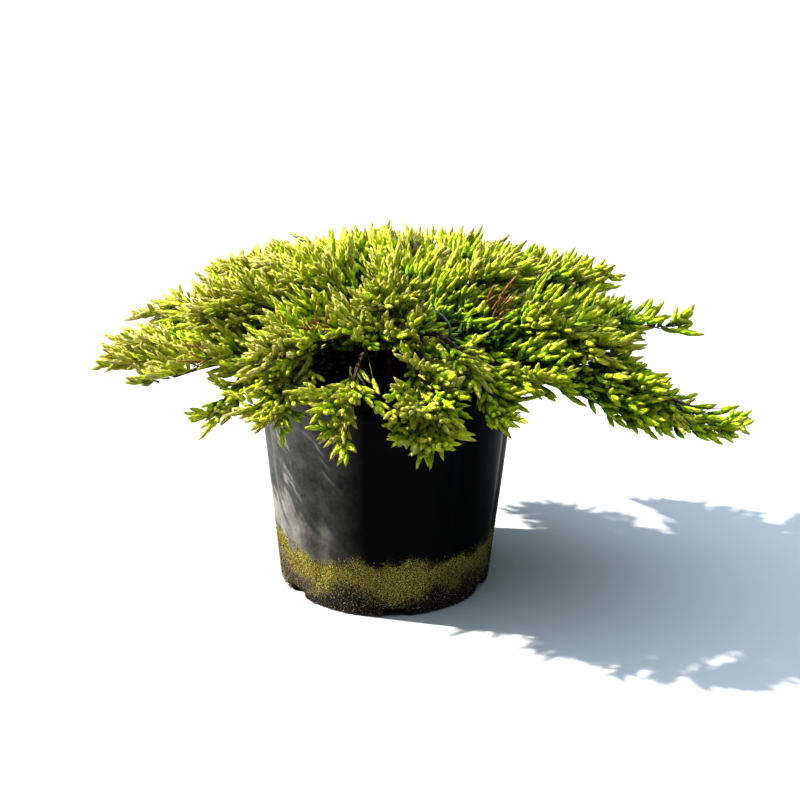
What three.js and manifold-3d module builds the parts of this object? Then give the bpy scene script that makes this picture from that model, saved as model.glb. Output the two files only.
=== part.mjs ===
// A spreading golden juniper in a black nursery pot.
//
// Millimetres, +Z up. The origin is the centre of the pot's flat underside, +X is the way the crown
// spreads furthest, and the plant's front faces -Y.
//
// The plant is built the way it grows. A short leaning stem stands on the potting soil and forks into
// boughs. A limb is one smooth line from its fork to its furthest tip: the bare bough is the first
// stretch of that line, and a mass of foliage grows round the rest. In a mass, side twigs leave the
// leader left and right in turn, and flat toothed sprays leave the twigs by the same rule. Each mass
// keeps to the space that is nearer to its own leader than to any other.

import * as THREE from "three";
import { mergeVertices } from "three/addons/utils/BufferGeometryUtils.js";
import Module from "manifold-3d";

const wasm = await Module();
wasm.setup();

// ---------------------------------------------------------------- driving dimensions

const CLEARANCE = 0.35; // between touching solids

const POT = {
  height: 240,
  baseRadius: 112,
  taper: 0.1, // the radius gained for each millimetre of height
  wall: 2.2,
  floor: 3,
  cornerRadius: 4, // where the wall turns into the underside
  lipHeight: 11,
  lipProud: 4.5, // how far the lip stands out from the wall
  segments: 40,
  flutes: 10,
  fluteDepth: 1.8,
  fluteAngle: 56, // degrees, of the first flute
  fluteLow: 26,
  fluteHigh: 208,
};

const DRAIN = { count: 6, width: 25, height: 9.5, angle: 276, depth: 14 };

const SOIL = { top: 218, dish: 5 }; // dish: how far the surface falls from the stem to the wall

const STEM = {
  height: 48,
  lean: [6, -3], // where its top stands, off the pot's centre
  radius: 16,
  topRadius: 14,
  flare: 8, // extra radius at ground level
  flareShare: 0.16, // the share of the height over which the flare dies away
};

// Every limb. from: what it forks off; at: the share of the way along that; azimuth in degrees from +X,
// anticlockwise seen from above; reach and tip: how far from the pot's axis and how high its furthest
// leaf tip is; lift: how far its line is pulled up, and crest: at which share of the way; bend: how far
// it is pulled sideways; width: how far the foliage spreads to each side; bare: the share of the limb
// before its foliage.
const LIMBS = [
  // the top, which carries on from the stem
  { name: "rear_top", from: "stem", at: 1, azimuth: 70, reach: 88, tip: 364, lift: 0, crest: 0.5, bend: -8, width: 60, bare: 0.3 },
  { name: "left_top", from: "stem", at: 1, azimuth: 170, reach: 124, tip: 350, lift: 10, crest: 0.5, bend: 10, width: 66, bare: 0.32 },
  { name: "right_top", from: "stem", at: 1, azimuth: 6, reach: 132, tip: 344, lift: 12, crest: 0.5, bend: 10, width: 66, bare: 0.26 },
  { name: "front_top", from: "stem", at: 1, azimuth: 266, reach: 84, tip: 338, lift: 6, crest: 0.5, bend: 10, width: 62, bare: 0.3 },
  { name: "rear_left_top", from: "left_top", at: 0.21, azimuth: 124, reach: 150, tip: 344, lift: 8, crest: 0.5, bend: 8, width: 62, bare: 0.3 },
  // the skirt, which arches over the rim and droops
  { name: "left_frond", from: "stem", at: 0.5, azimuth: 183, reach: 306, tip: 250, lift: 14, crest: 0.45, bend: 18, width: 70, bare: 0.3 },
  { name: "rear_left_frond", from: "stem", at: 0.74, azimuth: 124, reach: 236, tip: 246, lift: 80, crest: 0.55, bend: 20, width: 74, bare: 0.34 },
  { name: "rear_frond", from: "stem", at: 0.5, azimuth: 84, reach: 216, tip: 238, lift: 100, crest: 0.55, bend: -20, width: 78, bare: 0.36 },
  { name: "rear_right_frond", from: "stem", at: 0.74, azimuth: 42, reach: 258, tip: 250, lift: 70, crest: 0.5, bend: 20, width: 74, bare: 0.32 },
  { name: "right_low_frond", from: "stem", at: 0.52, azimuth: 346, reach: 374, tip: 204, lift: 80, crest: 0.42, bend: -24, width: 66, bare: 0.28 },
  { name: "front_right_sprig", from: "stem", at: 0.76, azimuth: 314, reach: 184, tip: 216, lift: 92, crest: 0.6, bend: -14, width: 72, bare: 0.34 },
  { name: "front_frond", from: "stem", at: 0.5, azimuth: 283, reach: 196, tip: 206, lift: 128, crest: 0.62, bend: 10, width: 70, bare: 0.34 },
  { name: "front_left_frond", from: "stem", at: 0.76, azimuth: 228, reach: 180, tip: 216, lift: 100, crest: 0.6, bend: -12, width: 68, bare: 0.34 },
  { name: "front_sprig", from: "front_frond", at: 0.24, azimuth: 257, reach: 174, tip: 222, lift: 96, crest: 0.6, bend: -14, width: 66, bare: 0.3 },
  { name: "left_low_frond", from: "left_frond", at: 0.1, azimuth: 194, reach: 254, tip: 232, lift: 40, crest: 0.5, bend: 14, width: 62, bare: 0.32 },
  { name: "lower_left_sprig", from: "front_left_frond", at: 0.2, azimuth: 206, reach: 206, tip: 200, lift: 60, crest: 0.5, bend: -12, width: 40, bare: 0.4 },
  { name: "left_rear_frond", from: "left_frond", at: 0.17, azimuth: 160, reach: 284, tip: 264, lift: 26, crest: 0.5, bend: -14, width: 68, bare: 0.3 },
  { name: "right_frond", from: "right_low_frond", at: 0.14, azimuth: 8, reach: 320, tip: 272, lift: 14, crest: 0.5, bend: -16, width: 68, bare: 0.28 },
  { name: "right_front_sprig", from: "right_low_frond", at: 0.13, azimuth: 328, reach: 226, tip: 218, lift: 60, crest: 0.5, bend: -14, width: 68, bare: 0.3 },
  // the shoulder, which rises and spreads over the skirt
  { name: "left_shoulder", from: "left_top", at: 0.12, azimuth: 186, reach: 226, tip: 292, lift: 26, crest: 0.5, bend: -10, width: 68, bare: 0.28 },
  { name: "rear_left_shoulder", from: "left_top", at: 0.07, azimuth: 150, reach: 222, tip: 312, lift: 12, crest: 0.5, bend: 12, width: 68, bare: 0.24 },
  { name: "rear_shoulder", from: "rear_top", at: 0.14, azimuth: 104, reach: 184, tip: 312, lift: 24, crest: 0.5, bend: -10, width: 70, bare: 0.3 },
  { name: "rear_right_shoulder", from: "rear_top", at: 0.22, azimuth: 52, reach: 206, tip: 316, lift: 14, crest: 0.5, bend: 14, width: 68, bare: 0.28 },
  { name: "right_shoulder", from: "right_top", at: 0.13, azimuth: 24, reach: 268, tip: 306, lift: 16, crest: 0.5, bend: -14, width: 66, bare: 0.24 },
  { name: "right_front_shoulder", from: "right_top", at: 0.12, azimuth: 342, reach: 236, tip: 280, lift: 30, crest: 0.5, bend: 14, width: 68, bare: 0.28 },
  { name: "front_right_shoulder", from: "front_top", at: 0.14, azimuth: 304, reach: 156, tip: 282, lift: 40, crest: 0.55, bend: 6, width: 64, bare: 0.3 },
  { name: "front_shoulder", from: "front_top", at: 0.3, azimuth: 268, reach: 140, tip: 288, lift: 22, crest: 0.55, bend: -10, width: 60, bare: 0.2 },
  { name: "front_left_shoulder", from: "front_top", at: 0.2, azimuth: 226, reach: 174, tip: 284, lift: 28, crest: 0.5, bend: 12, width: 68, bare: 0.28 },
];

// The dome that no leaf tip passes: its height over the stem, its half lengths to the left, the right,
// the front and the back, how far it falls at those, and how flat its top is; and the hem, which no
// leaf hangs under.
const DOME = { top: 373, left: 310, right: 362, front: 226, back: 262, fall: 120, flatness: 2.6, hem: 197 };

const BOUGH = { radius: 4.4, tipRadius: 1.2, sides: 5, rings: 4 };

const TWIG = {
  spacing: 9.5, // along the leader
  spiral: 137.5, // degrees from each twig round to the next
  shortest: 24, // a twig that would be shorter is a spray instead
  angle: 48, // degrees away from the leader
  rise: 0.16, // how strongly it turns up towards the light
  radius: 1.4,
  tipRadius: 0.9,
  sides: 3,
  leaderRings: 5,
};

const SPRAY = {
  length: 76,
  cuts: [1, 0.85, 0.7, 0.58], // the shares of its length that are tried until one fits
  attempts: 6, // how many directions are tried
  outward: 0.16, // how much further out each one leans
  swing: 0.4, // how much further each one strays
  apart: 7.4, // between the corners of two sprays of a mass
  overstep: 16, // how far its corners may pass into the space round another limb
  last: 0.7, // the size of the spray that ends a limb, as a share of the others
  lastRoll: 15,
  spacing: 34, // along a twig
  angle: 40,
  rise: 0.3,
  roll: 60, // degrees, the most it turns about its own length
  thickness: 0.05, // at its hub, as a share of its length
  curl: 0.1, // how far its teeth stand up from its hub, as a share of its length
  root: 0.3, // how far past the middle of its twig it is sunk
  hub: 0.4, // where it is thickest, as a share of its length
};

const COLOURS = {
  pot: { color: 0x16171a, roughness: 0.45, metalness: 0 },
  soil: { color: 0x33261b, roughness: 0.95, metalness: 0 },
  bark: { color: 0x5b4030, roughness: 0.85, metalness: 0 },
  foliage: { color: 0x9fb136, roughness: 0.6, metalness: 0 },
};

// ---------------------------------------------------------------- small helpers

const UP = new THREE.Vector3(0, 0, 1);
const radians = THREE.MathUtils.degToRad;

// Random numbers from 0 to 1 that are the same on every run.
function seeded(seed) {
  let state = seed >>> 0;
  return () => {
    state = (state + 0x6d2b79f5) >>> 0;
    let mixed = Math.imul(state ^ (state >>> 15), state | 1);
    mixed ^= mixed + Math.imul(mixed ^ (mixed >>> 7), mixed | 61);
    return ((mixed ^ (mixed >>> 14)) >>> 0) / 4294967296;
  };
}

// A closed geometry as a solid that can be joined and cut.
function solidFrom(geometry) {
  const bare = geometry.index ? geometry.toNonIndexed() : geometry.clone();
  const positions = new THREE.BufferGeometry().setAttribute("position", bare.getAttribute("position"));
  const merged = mergeVertices(positions, 1e-4);
  return new wasm.Manifold(
    new wasm.Mesh({
      numProp: 3,
      vertProperties: merged.attributes.position.array,
      triVerts: new Uint32Array(merged.index.array),
    }),
  );
}

// The largest body of a solid, without loose scraps and sealed hollows, as a geometry.
function geometryFrom(solid) {
  const bodies = solid.decompose();
  bodies.sort((a, b) => b.volume() - a.volume());
  const mesh = bodies[0].getMesh();
  const positions = new Float32Array(mesh.numVert * 3);
  for (let i = 0; i < mesh.numVert; i++) {
    const at = i * mesh.numProp;
    positions.set(mesh.vertProperties.subarray(at, at + 3), i * 3);
  }
  const geometry = new THREE.BufferGeometry();
  geometry.setAttribute("position", new THREE.BufferAttribute(positions, 3));
  geometry.setIndex(new THREE.BufferAttribute(new Uint32Array(mesh.triVerts), 1));
  geometry.computeVertexNormals();
  return geometry;
}

function namedMesh(name, geometry, finish) {
  const mesh = new THREE.Mesh(geometry, new THREE.MeshStandardMaterial(finish));
  mesh.name = name;
  return mesh;
}

// ---------------------------------------------------------------- pot and soil

function potRadius(z) {
  return POT.baseRadius + POT.taper * z;
}

// How far a flute is sunk into the wall at an angle and a height: full depth along one line of
// vertices, and nothing at the lines beside it.
function fluteDepthAt(angle, z) {
  if (z < POT.fluteLow || z > POT.fluteHigh) return 0;
  const pitch = (2 * Math.PI) / POT.flutes;
  const segment = (2 * Math.PI) / POT.segments;
  const off = THREE.MathUtils.euclideanModulo(angle - radians(POT.fluteAngle) + pitch / 2, pitch) - pitch / 2;
  return Math.abs(off) < segment / 2 ? POT.fluteDepth : 0;
}

// A shape turned about +Z from a profile of [radius, height] pairs, with the pot's flutes pressed in
// where the profile is on a fluted wall.
function turned(profile, isFluted) {
  const points = profile.map(([radius, z]) => new THREE.Vector2(radius, z));
  const geometry = new THREE.LatheGeometry(points, POT.segments, radians(POT.fluteAngle));
  geometry.rotateX(Math.PI / 2);
  const position = geometry.getAttribute("position");
  for (let i = 0; i < position.count; i++) {
    const [x, y, z] = [position.getX(i), position.getY(i), position.getZ(i)];
    const radius = Math.hypot(x, y);
    if (!isFluted(radius, z)) continue;
    const scale = 1 - fluteDepthAt(Math.atan2(y, x), z) / radius;
    position.setXY(i, x * scale, y * scale);
  }
  return geometry;
}

function potProfile() {
  const { height, wall, floor, cornerRadius, lipHeight, lipProud, fluteLow, fluteHigh } = POT;
  const lipFoot = height - lipHeight;
  const fluteEnds = [fluteLow - 12, fluteLow, fluteHigh, fluteHigh + 12];
  const outside = fluteEnds.map((z) => [potRadius(z), z]);
  const inside = fluteEnds.map((z) => [potRadius(z) - wall, z]).reverse();
  const lipRadius = potRadius(height) + lipProud;
  return [
    [0, 0],
    [POT.baseRadius - cornerRadius, 0],
    [POT.baseRadius - cornerRadius * 0.3, cornerRadius * 0.3],
    [potRadius(cornerRadius), cornerRadius],
    ...outside,
    [potRadius(lipFoot), lipFoot],
    [lipRadius - 1, lipFoot + 0.8],
    [lipRadius, lipFoot + 2],
    [lipRadius, height - 1.5],
    [lipRadius - 1.5, height],
    [potRadius(height) - wall, height],
    ...inside,
    [potRadius(floor) - wall - 1.5, floor],
    [0, floor],
  ];
}

function makePot() {
  const onWall = (radius, z) => radius > POT.baseRadius - POT.wall * 3 && z < POT.height - POT.lipHeight;
  let solid = solidFrom(turned(potProfile(), onWall));
  for (let i = 0; i < DRAIN.count; i++) {
    const angle = radians(DRAIN.angle + (360 / DRAIN.count) * i);
    const slot = new THREE.BoxGeometry(DRAIN.depth, DRAIN.width, DRAIN.height * 2);
    slot.translate(POT.baseRadius - DRAIN.depth / 2 + 4, 0, 0);
    slot.rotateZ(angle);
    solid = solid.subtract(solidFrom(slot));
  }
  return namedMesh("pot", geometryFrom(solid), COLOURS.pot);
}

function makeSoil() {
  const foot = POT.floor + CLEARANCE;
  const inner = (z) => potRadius(z) - POT.wall - POT.fluteDepth - CLEARANCE;
  const profile = [
    [0, foot],
    [inner(foot) - 2, foot],
    [inner(foot + 2), foot + 2],
    [inner(SOIL.top - SOIL.dish), SOIL.top - SOIL.dish],
    [inner(SOIL.top) * 0.6, SOIL.top - SOIL.dish * 0.3],
    [STEM.radius + STEM.flare + 6, SOIL.top],
    [0, SOIL.top],
  ];
  return namedMesh("soil", turned(profile, () => false), COLOURS.soil);
}

// ---------------------------------------------------------------- limbs

// A tapering limb round a curve from share t0 to t1 of its length, closed by a flat face at each end.
function limbGeometry(curve, t0, t1, radiusAt, sides, rings) {
  const positions = [];
  const ends = [curve.getPointAt(t0), curve.getPointAt(t1)];
  for (let i = 0; i < rings; i++) {
    const t = t0 + ((t1 - t0) * i) / (rings - 1);
    const centre = curve.getPointAt(t);
    const tangent = curve.getTangentAt(t);
    const across = new THREE.Vector3().crossVectors(tangent, Math.abs(tangent.z) > 0.9 ? new THREE.Vector3(0, 1, 0) : UP);
    across.normalize();
    const over = new THREE.Vector3().crossVectors(across, tangent);
    for (let j = 0; j < sides; j++) {
      const turn = (2 * Math.PI * (j + 0.25)) / sides;
      const point = centre.clone();
      point.addScaledVector(across, Math.cos(turn) * radiusAt(t));
      point.addScaledVector(over, Math.sin(turn) * radiusAt(t));
      positions.push(point.x, point.y, point.z);
    }
  }
  ends.forEach((end) => positions.push(end.x, end.y, end.z));
  const [foot, top] = [rings * sides, rings * sides + 1];
  const index = [];
  for (let j = 0; j < sides; j++) {
    const next = (j + 1) % sides;
    for (let i = 0; i < rings - 1; i++) {
      const [a, b, c, d] = [i * sides + j, i * sides + next, (i + 1) * sides + j, (i + 1) * sides + next];
      index.push(a, d, b, a, c, d);
    }
    index.push(foot, j, next, top, (rings - 1) * sides + next, (rings - 1) * sides + j);
  }
  const geometry = new THREE.BufferGeometry();
  geometry.setAttribute("position", new THREE.BufferAttribute(new Float32Array(positions), 3));
  geometry.setIndex(index);
  return geometry;
}

const stemCurve = new THREE.QuadraticBezierCurve3(
  new THREE.Vector3(0, 0, SOIL.top + CLEARANCE),
  new THREE.Vector3(0, 0, SOIL.top + STEM.height * 0.5),
  new THREE.Vector3(STEM.lean[0], STEM.lean[1], SOIL.top + STEM.height),
);

function stemRadius(t) {
  const flare = STEM.flare * Math.exp(-t / STEM.flareShare);
  return THREE.MathUtils.lerp(STEM.radius, STEM.topRadius, t) + flare;
}

function boughRadius(t) {
  return THREE.MathUtils.lerp(BOUGH.radius, BOUGH.tipRadius, Math.pow(t, 0.7));
}

function boughGeometry(curve, share) {
  return limbGeometry(curve, 0, share, boughRadius, BOUGH.sides, BOUGH.rings);
}

// A limb's line: out of what it forks off, up over an arch, and on to its furthest tip. It starts
// where its bough just clears the whole of the limb it forks off.
function limbCurve(limb, parent, parentRadius, parentSolid) {
  const fork = parent.getPointAt(limb.at);
  const along = parent.getTangentAt(limb.at);
  const heading = new THREE.Vector3(Math.cos(radians(limb.azimuth)), Math.sin(radians(limb.azimuth)), 0);
  const sideways = new THREE.Vector3(-heading.y, heading.x, 0);
  const end = heading.clone().multiplyScalar(limb.reach).setZ(limb.tip);
  const middle = fork.clone().lerp(end, limb.crest).addScaledVector(sideways, limb.bend);
  middle.z += limb.lift;
  const foot = fork.clone();
  const leaving = middle.clone().sub(fork).normalize();
  if (limb.from === "stem" && limb.at === 1) {
    // one of several that stand round the rim of the stem's flat top
    const out = heading.clone().addScaledVector(along, -heading.dot(along)).normalize();
    foot.addScaledVector(out, parentRadius - BOUGH.radius);
    leaving.copy(along);
  }
  const lineFrom = (clear) => {
    return new THREE.QuadraticBezierCurve3(foot.clone().addScaledVector(leaving, clear), middle, end);
  };
  let [touching, clear] = [0, 12 * parentRadius];
  while (clear - touching > 0.01) {
    const between = (touching + clear) / 2;
    const gap = solidFrom(boughGeometry(lineFrom(between), limb.bare)).minGap(parentSolid, 1);
    if (gap > CLEARANCE) clear = between;
    else touching = between;
  }
  return lineFrom(clear);
}

const stemGeometry = limbGeometry(stemCurve, 0, 1, stemRadius, 12, 8);
const forks = new Map([["stem", { curve: stemCurve, radiusAt: stemRadius, solid: solidFrom(stemGeometry) }]]);
for (const limb of LIMBS) {
  const parent = forks.get(limb.from);
  const curve = limbCurve(limb, parent.curve, parent.radiusAt(limb.at), parent.solid);
  const beyond = limbGeometry(curve, limb.bare, 0.9, boughRadius, BOUGH.sides, BOUGH.rings);
  const solid = solidFrom(boughGeometry(curve, limb.bare)).add(solidFrom(beyond));
  forks.set(limb.name, { curve, radiusAt: boughRadius, solid });
}
const curves = LIMBS.map((limb) => forks.get(limb.name).curve);

// ---------------------------------------------------------------- the space each mass keeps to

const LEADER_SAMPLES = 10;

const leaders = LIMBS.map((limb, k) => {
  const points = [];
  for (let i = 0; i <= LEADER_SAMPLES; i++) {
    points.push(curves[k].getPointAt(limb.bare + ((1 - limb.bare) * i) / LEADER_SAMPLES));
  }
  return points;
});

function distanceToSegment(point, a, b) {
  const along = b.clone().sub(a);
  const share = THREE.MathUtils.clamp(point.clone().sub(a).dot(along) / along.lengthSq(), 0, 1);
  return point.distanceTo(a.clone().addScaledVector(along, share));
}

function distanceToLine(point, line) {
  let least = Infinity;
  for (let i = 1; i < line.length; i++) {
    least = Math.min(least, distanceToSegment(point, line[i - 1], line[i]));
  }
  return least;
}

function domeHeight(x, y) {
  const outward = Math.hypot(x / (x < 0 ? DOME.left : DOME.right), y / (y < 0 ? DOME.front : DOME.back));
  return DOME.top - DOME.fall * Math.pow(outward, DOME.flatness);
}

// Whether a point is under the dome, outside the pot, and not deep in the space round another leader.
function isFree(point, k) {
  if (point.z > domeHeight(point.x, point.y) || point.z < DOME.hem) return false;
  const own = distanceToLine(point, leaders[k]);
  if (leaders.some((line, other) => other !== k && distanceToLine(point, line) < own - SPRAY.overstep)) return false;
  const radius = Math.hypot(point.x, point.y);
  if (radius < potRadius(POT.height) - POT.wall - 4) return point.z > SOIL.top + 2;
  return radius > potRadius(POT.height) + POT.lipProud + 4 || point.z > POT.height + 4;
}

// Everything that has its place already, each with the number of the limb it is part of and its box.
const placed = [];

function place(solid, k) {
  placed.push({ k, solid, box: solid.boundingBox() });
}

function areApart(a, b) {
  return [0, 1, 2].some((axis) => a.min[axis] > b.max[axis] + CLEARANCE || b.min[axis] > a.max[axis] + CLEARANCE);
}

// Whether a solid of limb k stays clear of everything that is not in its own mass.
function isClear(solid, k) {
  const box = solid.boundingBox();
  return placed.every((other) => {
    return other.k === k || areApart(box, other.box) || solid.minGap(other.solid, 2 * CLEARANCE) > CLEARANCE;
  });
}

// ---------------------------------------------------------------- sprays, twigs and masses

// A spray's outline one unit long: a tip tooth and three pairs of side teeth, a notch between each two.
// The pairs are [along, across] on one side, and the other side mirrors them.
const TEETH = [
  [0.72, 0.1],
  [0.83, 0.22],
  [0.53, 0.13],
  [0.62, 0.33],
  [0.33, 0.12],
  [0.36, 0.32],
  [0.16, 0.04],
];

// The corners of a spray that need room: its middle, its tip and its teeth and notches on both sides.
const CORNERS = [[0.4, 0], [1, 0], ...TEETH, ...TEETH.map(([along, side]) => [along, -side])];

// A flat toothed blade: its outline joined to a hub above and a hub below.
function sprayGeometry(root, forward, face, length) {
  const across = new THREE.Vector3().crossVectors(face, forward).normalize();
  const above = new THREE.Vector3().crossVectors(forward, across).normalize();
  const place = ([along, side], lifted) =>
    root
      .clone()
      .addScaledVector(forward, along * length)
      .addScaledVector(across, side * length)
      .addScaledVector(above, lifted * length);
  const rim = [[1, 0], ...TEETH, [0, 0], ...TEETH.map(([along, side]) => [along, -side]).reverse()];
  const lift = ([along, side]) => SPRAY.curl * (along * along + side * side);
  const hub = [SPRAY.hub, 0];
  const points = rim.map((pair) => place(pair, lift(pair)));
  points.push(place(hub, lift(hub) + SPRAY.thickness / 2), place(hub, lift(hub) - SPRAY.thickness / 2));
  const [top, bottom] = [rim.length, rim.length + 1];
  const index = [];
  for (let i = 0; i < rim.length; i++) {
    const next = (i + 1) % rim.length;
    index.push(top, i, next, bottom, next, i);
  }
  const geometry = new THREE.BufferGeometry().setFromPoints(points);
  geometry.setIndex(index);
  return geometry;
}

// A direction that leaves a stem at an angle, to the side that turn says, and then turns up.
function leaving(tangent, turn, angle, rise) {
  const flat = new THREE.Vector3().crossVectors(tangent, UP);
  if (flat.lengthSq() < 0.01) flat.set(1, 0, 0);
  flat.normalize();
  const over = new THREE.Vector3().crossVectors(flat, tangent).normalize();
  const out = flat.multiplyScalar(Math.cos(turn)).addScaledVector(over, Math.sin(turn));
  const direction = tangent.clone().multiplyScalar(Math.cos(angle)).addScaledVector(out, Math.sin(angle));
  return direction.addScaledVector(UP, rise).normalize();
}

// How wide a mass is at a share of the way along it, from 0 to 1: broad in the middle, slim at the tip.
function envelope(share) {
  return Math.pow(Math.sin(Math.PI * (0.16 + 0.76 * share)), 0.7);
}

function leaderOf(limb, k) {
  const length = curves[k].getLength();
  const first = limb.bare + CLEARANCE / length;
  const last = 1 - (SPRAY.length * SPRAY.last) / length;
  const radius = (t) => Math.max(boughRadius(t), TWIG.radius * 1.5);
  return { first, last, solid: solidFrom(limbGeometry(curves[k], first, last, radius, TWIG.sides, TWIG.leaderRings)) };
}

function growMass(limb, k, leader) {
  const random = seeded(1000 + k * 77);
  const curve = curves[k];
  const solids = [leader.solid];
  const taken = [];

  const add = (solid) => {
    solids.push(solid);
    place(solid, k);
  };

  // Where the corners of a spray would be, or null if one of them has no room.
  const cornersOf = (root, forward, face, size) => {
    const across = new THREE.Vector3().crossVectors(face, forward).normalize();
    const corners = [];
    for (const [along, side] of CORNERS) {
      const corner = root.clone().addScaledVector(forward, along * size).addScaledVector(across, side * size);
      corner.addScaledVector(face, SPRAY.curl * (along * along + side * side) * size);
      if (!isFree(corner, k)) return null;
      if (taken.some((other) => other.distanceToSquared(corner) < SPRAY.apart * SPRAY.apart)) return null;
      corners.push(corner);
    }
    return corners;
  };

  // The longest spray that has room, if any has. A direction without room is swung a little further
  // out each time.
  const addSpray = (from, direction, size, mostRoll = SPRAY.roll) => {
    const outward = new THREE.Vector3(from.x, from.y, 0).normalize();
    for (let attempt = 0; attempt < SPRAY.attempts; attempt++) {
      const swing = new THREE.Vector3(random() - 0.5, random() - 0.5, random() - 0.5);
      const forward = direction.clone().addScaledVector(outward, SPRAY.outward * attempt);
      forward.addScaledVector(swing, SPRAY.swing * attempt).normalize();
      const root = from.clone().addScaledVector(forward, -SPRAY.root);
      const sideways = new THREE.Vector3().crossVectors(forward, UP).normalize();
      const roll = radians(mostRoll) * (2 * random() - 1);
      const face = new THREE.Vector3().crossVectors(sideways, forward).applyAxisAngle(forward, roll);
      for (const share of SPRAY.cuts) {
        const corners = cornersOf(root, forward, face, size * share);
        if (!corners) continue;
        const spray = solidFrom(sprayGeometry(root, forward, face, size * share));
        if (!isClear(spray, k)) continue;
        taken.push(...corners);
        add(spray);
        return;
      }
    }
  };

  // A side twig with a spray at its tip and sprays along it, or just a spray where there is no room.
  const addTwig = (from, tangent, turn, longest) => {
    const heading = leaving(tangent, turn, radians(TWIG.angle), TWIG.rise);
    for (let reach = longest; reach >= TWIG.shortest; reach -= 8) {
      const end = from.clone().addScaledVector(heading, reach);
      const line = new THREE.LineCurve3(from, end);
      const radius = (share) => THREE.MathUtils.lerp(TWIG.radius, TWIG.tipRadius, share);
      const twig = solidFrom(limbGeometry(line, 0, 1, radius, TWIG.sides, 2));
      if (!isFree(end, k) || !isClear(twig, k)) continue;
      add(twig);
      addSpray(end, leaving(heading, turn, 0.1, SPRAY.rise * 0.4), SPRAY.length);
      const count = Math.round(reach / SPRAY.spacing);
      for (let j = 0; j < count; j++) {
        const sideTurn = (j % 2 ? 0.2 : Math.PI - 0.2) + 0.5 * (random() - 0.5);
        const outward = leaving(heading, sideTurn, radians(SPRAY.angle), SPRAY.rise * (random() - 0.2));
        addSpray(line.getPointAt((j + 0.5) / count), outward, SPRAY.length * (0.8 + 0.2 * random()));
      }
      return;
    }
    addSpray(from, heading, SPRAY.length);
  };

  const end = curve.getPointAt(leader.last);
  addSpray(end, curve.getTangentAt(leader.last), SPRAY.length * (SPRAY.last + 0.04), SPRAY.lastRoll);

  // Sprays and twigs leave the leader in a spiral, the outermost first.
  const count = Math.round(((leader.last - leader.first) * curve.getLength()) / TWIG.spacing);
  for (let i = count - 1; i >= 0; i--) {
    const share = leader.first + ((leader.last - leader.first) * (i + 0.5)) / count;
    const from = curve.getPointAt(share);
    const tangent = curve.getTangentAt(share);
    const turn = radians(TWIG.spiral * i + 40 * k) + 0.4 * (random() - 0.5);
    const isSideways = Math.abs(Math.cos(turn)) > 0.5;
    const reach = limb.width * envelope(i / count) * (0.85 + 0.3 * random()) - SPRAY.length * 0.45;
    if (isSideways && reach > TWIG.shortest) {
      addTwig(from, tangent, turn, reach);
    } else {
      const angle = isSideways ? TWIG.angle : SPRAY.angle;
      const rise = Math.sin(turn) < -0.5 ? 0 : SPRAY.rise * random();
      addSpray(from, leaving(tangent, turn, radians(angle), rise), SPRAY.length);
    }
  }
  return wasm.Manifold.union(solids);
}

// ---------------------------------------------------------------- the plant in its pot

const plant = new THREE.Group();
plant.add(makePot(), makeSoil(), namedMesh("stem", stemGeometry, COLOURS.bark));
place(solidFrom(stemGeometry), -1);

const boughs = LIMBS.map((limb, k) => boughGeometry(curves[k], limb.bare));
boughs.forEach((bough) => place(solidFrom(bough), -1));

const grown = LIMBS.map(leaderOf);
grown.forEach((leader, k) => place(leader.solid, k));

LIMBS.forEach((limb, k) => {
  plant.add(namedMesh(`bough_${limb.name}`, boughs[k], COLOURS.bark));
  plant.add(namedMesh(`foliage_${limb.name}`, geometryFrom(growMass(limb, k, grown[k])), COLOURS.foliage));
});

export default plant;
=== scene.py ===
# %% [markdown]
# # A spreading golden juniper in a black nursery pot
#
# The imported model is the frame: it gives the pot, the soil, the stem, the boughs and one coarse mass of
# foliage for each bough, all at their real size. This lesson gives each of them its looks. It works in
# millimetres, because that is how a grower measures a shoot, and turns them into metres at the very
# end, where numbers become a mesh.

import bpy
import numpy as np
from mathutils import Matrix, Vector


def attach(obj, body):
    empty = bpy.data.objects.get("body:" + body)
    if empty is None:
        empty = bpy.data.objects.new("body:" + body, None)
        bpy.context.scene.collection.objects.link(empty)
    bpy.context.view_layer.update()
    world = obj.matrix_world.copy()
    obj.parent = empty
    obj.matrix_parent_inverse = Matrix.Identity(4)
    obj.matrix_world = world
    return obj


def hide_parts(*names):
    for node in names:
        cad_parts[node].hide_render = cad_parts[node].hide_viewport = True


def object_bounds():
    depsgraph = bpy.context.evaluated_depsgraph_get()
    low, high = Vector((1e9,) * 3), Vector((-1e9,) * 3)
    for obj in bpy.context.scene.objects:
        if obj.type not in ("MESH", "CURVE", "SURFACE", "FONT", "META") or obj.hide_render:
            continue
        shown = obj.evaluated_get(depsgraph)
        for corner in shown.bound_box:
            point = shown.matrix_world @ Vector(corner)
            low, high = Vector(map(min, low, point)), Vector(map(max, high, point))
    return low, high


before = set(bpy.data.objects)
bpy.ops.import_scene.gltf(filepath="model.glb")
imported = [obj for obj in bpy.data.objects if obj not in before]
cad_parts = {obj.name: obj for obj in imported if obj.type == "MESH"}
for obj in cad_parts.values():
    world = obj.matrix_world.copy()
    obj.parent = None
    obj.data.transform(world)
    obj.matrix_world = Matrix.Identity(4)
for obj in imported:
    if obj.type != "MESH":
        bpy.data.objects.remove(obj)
cad_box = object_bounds()
print("the frame holds", len(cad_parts), "nodes")

# %% [markdown]
# ## Helpers
#
# Every piece below ends as two arrays, its points and its faces. One function makes the mesh from them,
# puts a material on it, and hides the nodes of the frame that it stands for.

# %% Pieces from arrays
METRES = 0.001
random = np.random.default_rng(20)


def add_object(name, data):
    """A new object that shows a mesh, a lamp or a camera, linked to the scene."""
    added = bpy.data.objects.new(name, data)
    bpy.context.scene.collection.objects.link(added)
    return added


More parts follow.
